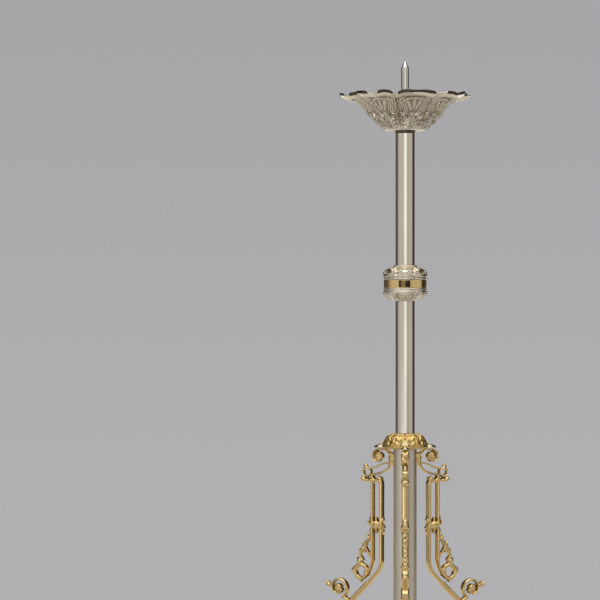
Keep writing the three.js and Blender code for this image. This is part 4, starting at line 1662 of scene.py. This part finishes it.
@dataclass
class CastLegs:
    """Three cast openwork legs with their screws and glides.

    A leg is drawn along +X. Its places are a radius from the stem's axis and a height.
    """

    names: tuple[str, ...] = ("front", "right", "left")
    width: float = 9.8  # of the casting, across the leg
    grain: float = 0.8
    column_clear: float = 16.3
    inner_r: float = 37.3  # inner upright
    inner_thick: float = 5.2
    outer_r: float = 51.4  # outer upright
    cross_z: float = 522.0  # cross-piece under the arcs
    knot_z: float = 460.0
    bend_z: float = 408.0  # where the uprights bend outwards
    lug_r: float = 15.0
    lug_out: float = 23.5
    lug_width: float = 11.0
    upper_screw: float = 553.5
    lower_screw: float = 190.0
    ring_eye: Spot = (69.5, 395.4)
    shoulder: Spot = (106.0, 371.0)  # eye of the scroll outside the main curve
    brace_end: Spot = (130.0, 182.0)
    brace_eye: Spot = (104.0, 168.5)
    foot_r: float = 170.0
    foot_z: float = 4.0

    def head(self) -> list[Surface]:
        """Rosette scroll under the crown's leaf, and two arcs that carry the cross-piece."""
        wide, inner, outer, cross = self.width, self.inner_r, self.outer_r, self.cross_z
        return [
            swept(route((19.5, 553), (23.2, 561.3, 30, 565.3), (41.5, 565.3)), 2.6, wide),
            swept(scroll((41.5, 556), 9.2, 4, 90, -420), 3.2, wide, 2.1),
            ball((49.4, 559.6), 2.8, 4.4),
            ball((49.0, 552.4), 2.8, 4.4),
            rosette((41.1, 555.8), 6.0, 6.6),
            swept(route((22, 547.6), (33, 547, 43.5, 541.3), (50, 538.4, 59, 539.5)), 2.6, wide * 0.8, 2.0),
            swept(scroll((60, 533.6), 6.2, 6.0, 110, -380), 2.4, wide * 0.85, 2.0),
            ball((66.0, 533.0), 2.0, 4.2),
            swept(route((20, 552), (21.6, 540.6, 32.6, 534.8), (42, 531, 52, 530)), 3.4, wide * 0.85, 2.0),
            swept(route((inner - 2, cross), (66, cross)), 5.0, wide + 0.6, 2.4),
            swept(route((outer, 531), (outer, cross)), 4.0, wide),
            rosette((40.0, cross + 1.4), 5.2, 5.8, 5),
            ball((outer, cross + 1), 4.9, 5.8),
            ball((59.5, cross + 0.4), 3.0, 5.2),
            ball((66, cross + 1.6), 4.1, 5.4),
            *sprig((62, 538), (63.6, 546.5), 3.6, 6.0),
            leaf((21.5, 546), (26.0, 541.5), 4.6, 7.5),
        ]

    def uprights(self) -> list[Surface]:
        """Two straight bars that bend outwards below, and the leafy knot that ties them."""
        wide, inner, outer, bend, knot = self.width, self.inner_r, self.outer_r, self.bend_z, self.knot_z
        middle = (inner + outer) / 2
        inner_bend = (inner, bend - 8, 46.5, 391.5)
        outer_bend = (outer + 0.5, bend - 7, 60, 393)
        inner_path = route((inner, self.cross_z), (inner, bend + 4), inner_bend, (60, 377.5))
        outer_path = route((outer, self.cross_z), (outer, bend + 4), outer_bend)
        parts = [
            swept(inner_path, np.linspace(self.inner_thick, 4.2, len(inner_path)), wide, 3.6, 24),
            swept(outer_path, 5.0, wide, 2.0, 24),
            swept(route((inner, knot), (outer, knot)), 7.4, wide + 0.4, 2.2),
            rosette((middle, knot), 6.6, 7.0, 5),
            ball((inner, knot - 2), 4.6, 6.0),
            ball((outer, knot + 2), 4.6, 6.0),
            *sprig((outer, knot + 1), (60.5, knot + 6.5), 3.8, 8.5),
            *sprig((inner + 1, knot), (31, knot - 4), 3.4, 8.0),
        ]
        for sign in (-1, 1):
            start = knot + 3 * sign
            parts += [
                leaf((outer - 2, start), (outer + 4.0, knot + 12.5 * sign), 5.4, 9.0, -0.12 * sign),
                leaf((middle, start), (middle + 1.0, knot + 12 * sign), 4.8, 8.4),
                leaf((inner + 1, start), (inner - 3.4, knot + 11 * sign), 4.8, 8.6, 0.12 * sign),
            ]
        return parts

    def beading(self, path: np.ndarray, every: float, radius: float) -> list[Surface]:
        """A row of small beads along a path, close enough to touch."""
        count = max(int(lengths(path)[-1] / every), 2)
        return [ball(tuple(spot), radius, radius * 1.15) for spot in evenly(path, count)]

    def spur(self) -> list[Surface]:
        """Spur of leaves on the outer bar, and the ring that closes it below."""
        wide, outer = self.width, self.outer_r
        horn = route((outer, 445), (57, 441, 62, 434), (68, 428, 70.7, 418), (71.4, 412, 71, 405))
        leaves = (
            ((57.0, 438), (60.6, 447.5), 5.0), ((67.4, 422), (73.4, 426.5), 5.2),
            ((70.6, 411), (76.0, 414.5), 4.8), ((78.6, 398), (83.2, 402), 5.0),
            ((66, 431), (63.0, 421.0), 4.2), ((70.4, 416), (65.0, 410.0), 3.6),
        )
        return [
            swept(horn, 3.4, wide * 0.9, 2.4),
            swept(route((64, 433), (60, 424, 52.4, 415)), 3.8, wide * 0.7, 2.0),
            swept(scroll(self.ring_eye, 9.3, 9.3, 0, 372), 5.6, wide, 2.4),
            ball((71.4, 409.4), 4.8, 6.2),
            ball((60.5, 393), 4.6, 5.6),
            ball((81.0, 396), 3.9, 5.4),
            ball((70.0, 383.8), 3.4, 5.2),
            *sprig((60, 431), (68.0, 438.0), 4.0, 8.6),
            *[leaf(root, tip, thick, 8.6) for root, tip, thick in leaves],
            *self.beading(route((outer + 2.6, 455), (outer + 2.6, 446)), 3.4, 1.9),
            *self.beading(horn + (1.6, 1.0), 3.6, 1.7),
        ]

    def sweep(self) -> list[Surface]:
        """Main curve of the leg down to its foot, with the shoulder scroll outside it."""
        curve = route(
            (56, 382.5),
            (70, 367, 92, 352, 108, 326),
            (128, 293, 139, 250, 133, 205),
            (130, 180, 122, 150, 124, 118),
            (126, 86, 140, 66, 152, 44),
            (155, 36, 157.5, 29, 158.5, 21),
        )
        count = len(curve)
        thick = np.linspace(6.2, 8.2, count)
        outside = curve + beside(directions(curve)) * (thick / 2 - 0.2)[:, None]
        ridge = outside[int(count * 0.16):int(count * 0.93)]
        sprigs = (
            ((107, 330), (130, 343), 5.4, 8.5), ((134.0, 238), (143, 250), 4.0, 7.5),
            ((133.6, 232), (142, 222), 4.0, 7.5), ((130, 74), (147, 85), 4.8, 8.0),
            ((100, 345), (84, 340), 4.6, 7.5), ((118, 372), (129, 380), 4.0, 7.0),
        )
        parts = [
            swept(curve, thick, self.width + 1.8, 3.0, 24),
            swept(ridge, 2.2, 3.6, 2.0, 14),
            swept(scroll(self.shoulder, 15.2, 6, 250, -420), 3.6, self.width, 2.4),
            rosette(self.shoulder, 6.6, 6.8, 7),
            swept(route((90, 352), (92, 358, 100, 357)), 4.2, self.width, 2.4),
            ball((134.5, 236), 4.8, 6.2),
            swept(scroll((self.foot_r, 19), 12.6, 4.5, 160, 400), 4.2, self.width + 0.6, 2.4),
            rosette((self.foot_r, 19.5), 5.8, 6.8),
        ]
        for each in sprigs:
            parts += sprig(*each)
        return parts + self.beading(outside[int(count * 0.02):int(count * 0.13)], 4.0, 1.8)

    def brace(self) -> list[Surface]:
        """Brace between the main curve and the column's foot, with its scroll below."""
        lower = route((20, 180), (30, 172, 46, 166, 62, 172), (84, 181, 106, 182, *self.brace_end))
        upper = route((20, 200), (30, 203, 42, 206, 56, 199), (68, 192, 74, 184, 78, 178))
        return [
            swept(lower, 4.4, self.width, 2.6),
            swept(upper, 3.4, self.width * 0.9, 2.4),
            ball((57, 198.5), 4.6, 5.8),
            swept(scroll(self.brace_eye, 12, 4.5, 90, -400), 3.4, self.width, 2.4),
            rosette(self.brace_eye, 5.6, 6.6),
            ball(self.brace_end, 5.6, 6.4),
            *sprig((60, 197), (72, 206), 4.0, 7.0),
            *sprig((66, 174), (54, 160), 4.4, 7.0),
            *sprig((116, 170), (122, 158), 3.8, 6.5),
        ]

    def lugs(self) -> list[Surface]:
        """The two lugs that take the screws, the upper one's flower and beads, and the foot's pad."""
        inner = self.lug_r
        upper = route((inner, 543), (inner, 563), step=0.8)
        lower = route((inner, self.lower_screw - 13), (inner, self.lower_screw + 13), step=0.8)
        pad = route((self.foot_r, self.foot_z + 0.2), (self.foot_r, self.foot_z + 6.4), step=0.5)
        thick = (self.lug_out - inner) * 2
        return [
            swept(upper, thick, self.lug_width, 4.5, 28),
            swept(lower, thick, self.lug_width, 4.5, 28),
            swept(pad, 22.6, 17.6, 2.6, 40),
            rosette((19.0, 553.0), 4.2, 6.5, 5),
            ball((20.6, 560.0), 2.2, 6.4),
            ball((20.6, 546.0), 2.2, 6.4),
        ]

    def casting(self) -> Surface:
        """One leg: its parts melted into a single skin, and drawn back to just outside the column.

        Returns:
            The leg, along +X.
        """
        parts = self.head() + self.uprights() + self.spur() + self.sweep() + self.brace() + self.lugs()
        cast = melted(skin("cast_leg", Surface.joined(parts)), self.grain, 3)
        outward, across = cast.points[:, 0], cast.points[:, 1]
        beside_column = np.sqrt(np.maximum(self.column_clear**2 - across**2, 0.0))
        inside = np.hypot(outward, across) < self.column_clear
        cast.points[:, 0] = np.where(inside, beside_column, outward)
        return cast

    def screw(self, height: float) -> Surface:
        """A slotted round-headed screw along +X.

        Args:
            height: its axis above the floor.

        Returns:
            A closed surface.
        """
        seat = self.lug_out + GAP
        shank = np.array([(0.0, 9.0), (2.0, 9.6), (2.0, seat)])
        head = np.array([
            (3.2, seat), (3.4, seat + 0.3), (3.3, seat + 0.9), (2.7, seat + 1.7), (1.9, seat + 2.1),
            (1.0, seat + 2.35), (0.0, seat + 2.4),
        ])
        upright = revolved(np.vstack([shank, evenly(head, 24)]), 64)
        across, along, out = upright.points.T
        slot = (np.abs(across) < 0.55) & (out > seat + 0.9)
        out = np.where(slot, np.minimum(out, seat + 1.1), out)
        return Surface(np.column_stack([out, along, across + height]), upright.faces)

    def glide(self) -> Surface:
        """Felt-faced glide under a foot, with a softly rounded edge."""
        wide = Extent.of("foot_glide_front").radius
        high = self.foot_z - GAP
        stem_top = self.foot_z + 3.4
        profile = eased([
            (0.0, 0.0), (wide - 0.4, 0.0), (wide, 0.8), (wide, high - 0.6), (wide - 0.6, high), (2.5, high),
            (2.5, stem_top), (0.0, stem_top),
        ], 0.5)
        upright = revolved(profile, 72)
        return Surface(upright.points + (self.foot_r, 0.0, 0.0), upright.faces)

    def build(self) -> None:
        """Makes one leg, and sets it with its screws and glide at each of the three places."""
        cast = self.casting()
        for number, name in enumerate(self.names):
            turn = -90 + 120 * number
            leg = skin(f"cast_leg_{name}", cast.turned(turn), 70.0)
            stand_in(leg, f"leg_{name}", Slot.GILT, CAST_GILT)
            for level, height in (("upper", self.upper_screw), ("lower", self.lower_screw)):
                screw = skin(f"slotted_{level}_screw_{name}", self.screw(height).turned(turn))
                stand_in(screw, f"{level}_leg_screw_{name}", Slot.GILT, POLISHED_GILT)
            glide = skin(f"felt_glide_{name}", self.glide().turned(turn))
            stand_in(glide, f"foot_glide_{name}", Slot.FELT, PRESSED_FELT)


# Studio

@dataclass(frozen=True)
class SoftLight:
    """A large round light, aimed at the middle of the stand."""

    name: str
    spot: tuple[float, float, float]
    size: float
    power: float
    colour: Colour

    def hang(self) -> None:
        """Makes the light."""
        data = bpy.data.lights.new(self.name, "AREA")
        data.shape = "DISK"
        data.size = self.size
        data.energy = self.power
        data.color = self.colour
        lamp = bpy.data.objects.new(self.name, data)
        lamp.location = self.spot
        aim = np.array([0.0, 0.0, 0.5]) - np.array(self.spot)
        tilt = math.atan2(math.hypot(aim[0], aim[1]), -aim[2])
        lamp.rotation_euler = (tilt, 0.0, math.atan2(aim[1], aim[0]) - math.pi / 2)
        bpy.context.scene.collection.objects.link(lamp)


@dataclass(frozen=True)
class Board:
    """A long, low strip of board, bent round the stand far in front of it."""

    name: str
    start: float  # degrees from the front
    end: float
    tone: float
    away: float = 4.5  # metres, as the two heights
    bottom: float = 0.797
    top: float = 0.833
    columns: int = 24

    def stand(self) -> None:
        """Makes the board as part of the stage."""
        turn = np.radians(np.linspace(self.start, self.end, self.columns))[None, :]
        height = np.array([self.bottom, self.top])[:, None] / MM
        points = about_stem(np.array(self.away / MM), turn, height).reshape(-1, 3)
        numbers = np.arange(2 * self.columns).reshape(2, self.columns)
        faces = np.stack([numbers[0, :-1], numbers[0, 1:], numbers[1, 1:], numbers[1, :-1]], axis=-1)
        board = skin(self.name, Surface(points, [tuple(face) for face in faces.tolist()]))
        board.data.materials.append(BoardFinish(self.name, self.tone).material())


@dataclass
class Studio:
    """Camera, lights, backdrop and floor, with a room that only the metal reflects.

    The walls have stops of a brightness by degrees from the front, with the left of the picture
    below 0 and its right above.
    """

    camera_away: float = 4.128
    camera_height: float = 0.7714
    camera_turn: float = 2.006  # degrees
    lens: float = 180.0
    floor_radius: float = 2.6
    floor_thick: float = 20.0  # millimetres
    warmth: Colour = (1.0, 0.94, 0.84)
    window: float = 0.9  # brightness above which a wall is a window, and isn't warm
    level_walls: tuple[Spot, ...] = (
        (-180, 0.36), (-163, 0.30), (-153, 0.08), (-130, 0.07), (-114, 0.09), (-104, 0.14), (-95, 0.23),
        (-86, 0.38), (-77, 0.50), (-36, 0.50), (-22, 0.46), (-15, 0.56), (-9, 1.0), (14, 1.0), (22, 0.64),
        (31, 0.42), (38, 0.42), (46, 0.49), (86, 0.47), (97, 0.34), (104, 0.05), (116, 0.02), (130, 0.05),
        (158, 0.08), (167, 0.28), (180, 0.36),
    )
    lower_walls: tuple[Spot, ...] = (
        (-180, 0.36), (-158, 0.30), (-146, 0.16), (-130, 0.24), (-120, 0.34), (-104, 0.38), (-88, 0.47),
        (-66, 0.47), (-57, 0.52), (-48, 0.92), (-38, 1.50), (-18, 1.50), (-10, 0.40), (-4, 0.08), (40, 0.08),
        (48, 0.32), (64, 0.38), (76, 0.50), (96, 0.48), (110, 0.03), (134, 0.03), (143, 0.30), (180, 0.36),
    )
    heights: tuple[Spot, ...] = (
        (-90, 0.5), (-25, 0.8), (-6, 1.0), (12, 1.0), (22, 0.62), (40, 0.6), (90, 0.6),
    )  # degrees above the horizon and share of the walls' brightness
    lower_from: Spot = (-0.052, -0.062)  # rise of a direction at which the lower walls take over
    ceiling: Colour = (0.90, 0.87, 0.79)
    ceiling_from: Spot = (0.66, 0.80)
    far_patch: Colour = (1.0, 0.97, 0.9)
    patch_behind: Spot = (0.86, 0.95)  # how far back a direction points at the patch's edge
    patch_below: Spot = (-0.09, -0.14)
    backdrop_low: Colour = (0.437, 0.437, 0.45)
    backdrop_high: Colour = (0.385, 0.385, 0.40)
    backdrop_fall: Spot = (-0.1, 0.12)

    def camera(self) -> None:
        """Sets the camera level with the middle of the picture."""
        data = bpy.data.cameras.new("studio_camera")
        data.lens = self.lens
        camera = bpy.data.objects.new("studio_camera", data)
        camera.location = (0.0, AXIS[1] * MM - self.camera_away, self.camera_height)
        camera.rotation_euler = (math.radians(90), 0.0, math.radians(self.camera_turn))
        bpy.context.scene.collection.objects.link(camera)
        bpy.context.scene.camera = camera

    def floor(self) -> None:
        """A round, pale floor under the stand."""
        turn = whole_turn(96)
        radius = np.array([0.0, 0.6, 1.4, self.floor_radius, self.floor_radius, 0.0])[:, None] / MM
        depth = np.array([0.0, 0.0, 0.0, 0.0, -1.0, -1.0])[:, None] * self.floor_thick
        grid = lattice(radius * np.cos(turn), radius * np.sin(turn), depth)
        floor = skin("studio_floor", Surface.woven(grid))
        floor.data.materials.append(PALE_FLOOR.material())

    def walls(self, sheet: NodeSheet, turn: Socket, stops: Sequence[Spot]) -> Socket:
        """The studio's walls all round the stand, warm but for the bright windows.

        Args:
            sheet: the world's node sheet.
            turn: direction from 0 behind the stand, through the left and the front, to 1.
            stops: brightness by degrees from the front.

        Returns:
            The walls' colour.
        """
        bands = []
        for degrees, bright in stops:
            tint = np.ones(3) if bright > self.window else np.array(self.warmth)
            bands.append(((degrees + 180) / 360, tuple(bright * tint)))
        return sheet.banded(turn, bands)

    def room(self, sheet: NodeSheet, outward: Sockets) -> Socket:
        """What the metal reflects: the walls, the ceiling and a bright patch low behind.

        Args:
            sheet: the world's node sheet.
            outward: the three parts of the direction that is looked in.

        Returns:
            The room's colour.
        """
        azimuth = sheet.math("ARCTAN2", outward[0], sheet.math("MULTIPLY", outward[1], -1.0))
        turn = sheet.level(azimuth, -math.pi, math.pi)
        level_walls = self.walls(sheet, turn, self.level_walls)
        lower_walls = self.walls(sheet, turn, self.lower_walls)
        around = sheet.between(sheet.level(outward[2], *self.lower_from), level_walls, lower_walls)
        upright = sheet.banded(sheet.level(outward[2], -1.0, 1.0), [
            ((math.sin(math.radians(degrees)) + 1) / 2, (bright, bright, bright))
            for degrees, bright in self.heights
        ])
        shaded = sheet.between(1.0, around, upright, "MULTIPLY")
        lit = sheet.between(sheet.spread(outward[2], *self.ceiling_from), shaded, self.ceiling)
        behind = sheet.level(outward[1], *self.patch_behind)
        low = sheet.level(outward[2], *self.patch_below)
        return sheet.between(sheet.math("MULTIPLY", behind, low), lit, self.far_patch)

    def surroundings(self) -> None:
        """A plain grey backdrop for the camera, and the room for the metal."""
        world = bpy.data.worlds.new("studio")
        world.use_nodes = True
        bpy.context.scene.world = world
        sheet = NodeSheet(world.node_tree)
        away = sheet.add("ShaderNodeTexCoord").outputs["Generated"]
        outward = sheet.add("ShaderNodeSeparateXYZ", {0: away}).outputs
        room = self.room(sheet, outward)
        fall = sheet.spread(outward[2], *self.backdrop_fall)
        backdrop = sheet.between(fall, self.backdrop_low, self.backdrop_high)
        seen = sheet.add("ShaderNodeLightPath").outputs["Is Camera Ray"]
        sheet.feed(world.node_tree.nodes["Background"].inputs["Color"], sheet.between(seen, room, backdrop))

    def boards(self) -> None:
        """Low strips of board far in front, which only the knop's band reflects."""
        Board("dark_board_left", -34.0, -21.0, 0.03).stand()
        Board("grey_board", -21.0, 1.5, 0.14).stand()
        Board("dark_board_right", 1.5, 28.0, 0.006).stand()

    def lights(self) -> None:
        """Soft lights above and to both sides, which also light the floor."""
        SoftLight("ceiling_light", (0.0, -0.4, 3.0), 2.4, 14.0, (1.0, 0.97, 0.91)).hang()
        SoftLight("left_light", (-2.2, -1.6, 1.6), 0.5, 1.6, (1.0, 0.97, 0.93)).hang()
        SoftLight("right_light", (2.4, -1.2, 1.8), 0.5, 1.2, (1.0, 0.97, 0.93)).hang()

    def build(self) -> None:
        """Sets up the whole studio."""
        bpy.context.scene.view_settings.view_transform = "Standard"
        self.camera()
        self.floor()
        self.boards()
        self.surroundings()
        self.lights()


def main() -> None:
    """Builds the stand from the top down, and then the studio round it."""
    logging.basicConfig(level=logging.INFO, format="%(name)s: %(message)s")
    for make in (hollow_tarnish_and_shade_group, handling_group, turned_lines_group, cast_skin_group):
        make()
    for assembly in (CandleHolder(), StemTubes(), Knop(), Crown(), Column(), CastLegs(), Studio()):
        assembly.build()


if __name__ == "__main__":
    main()
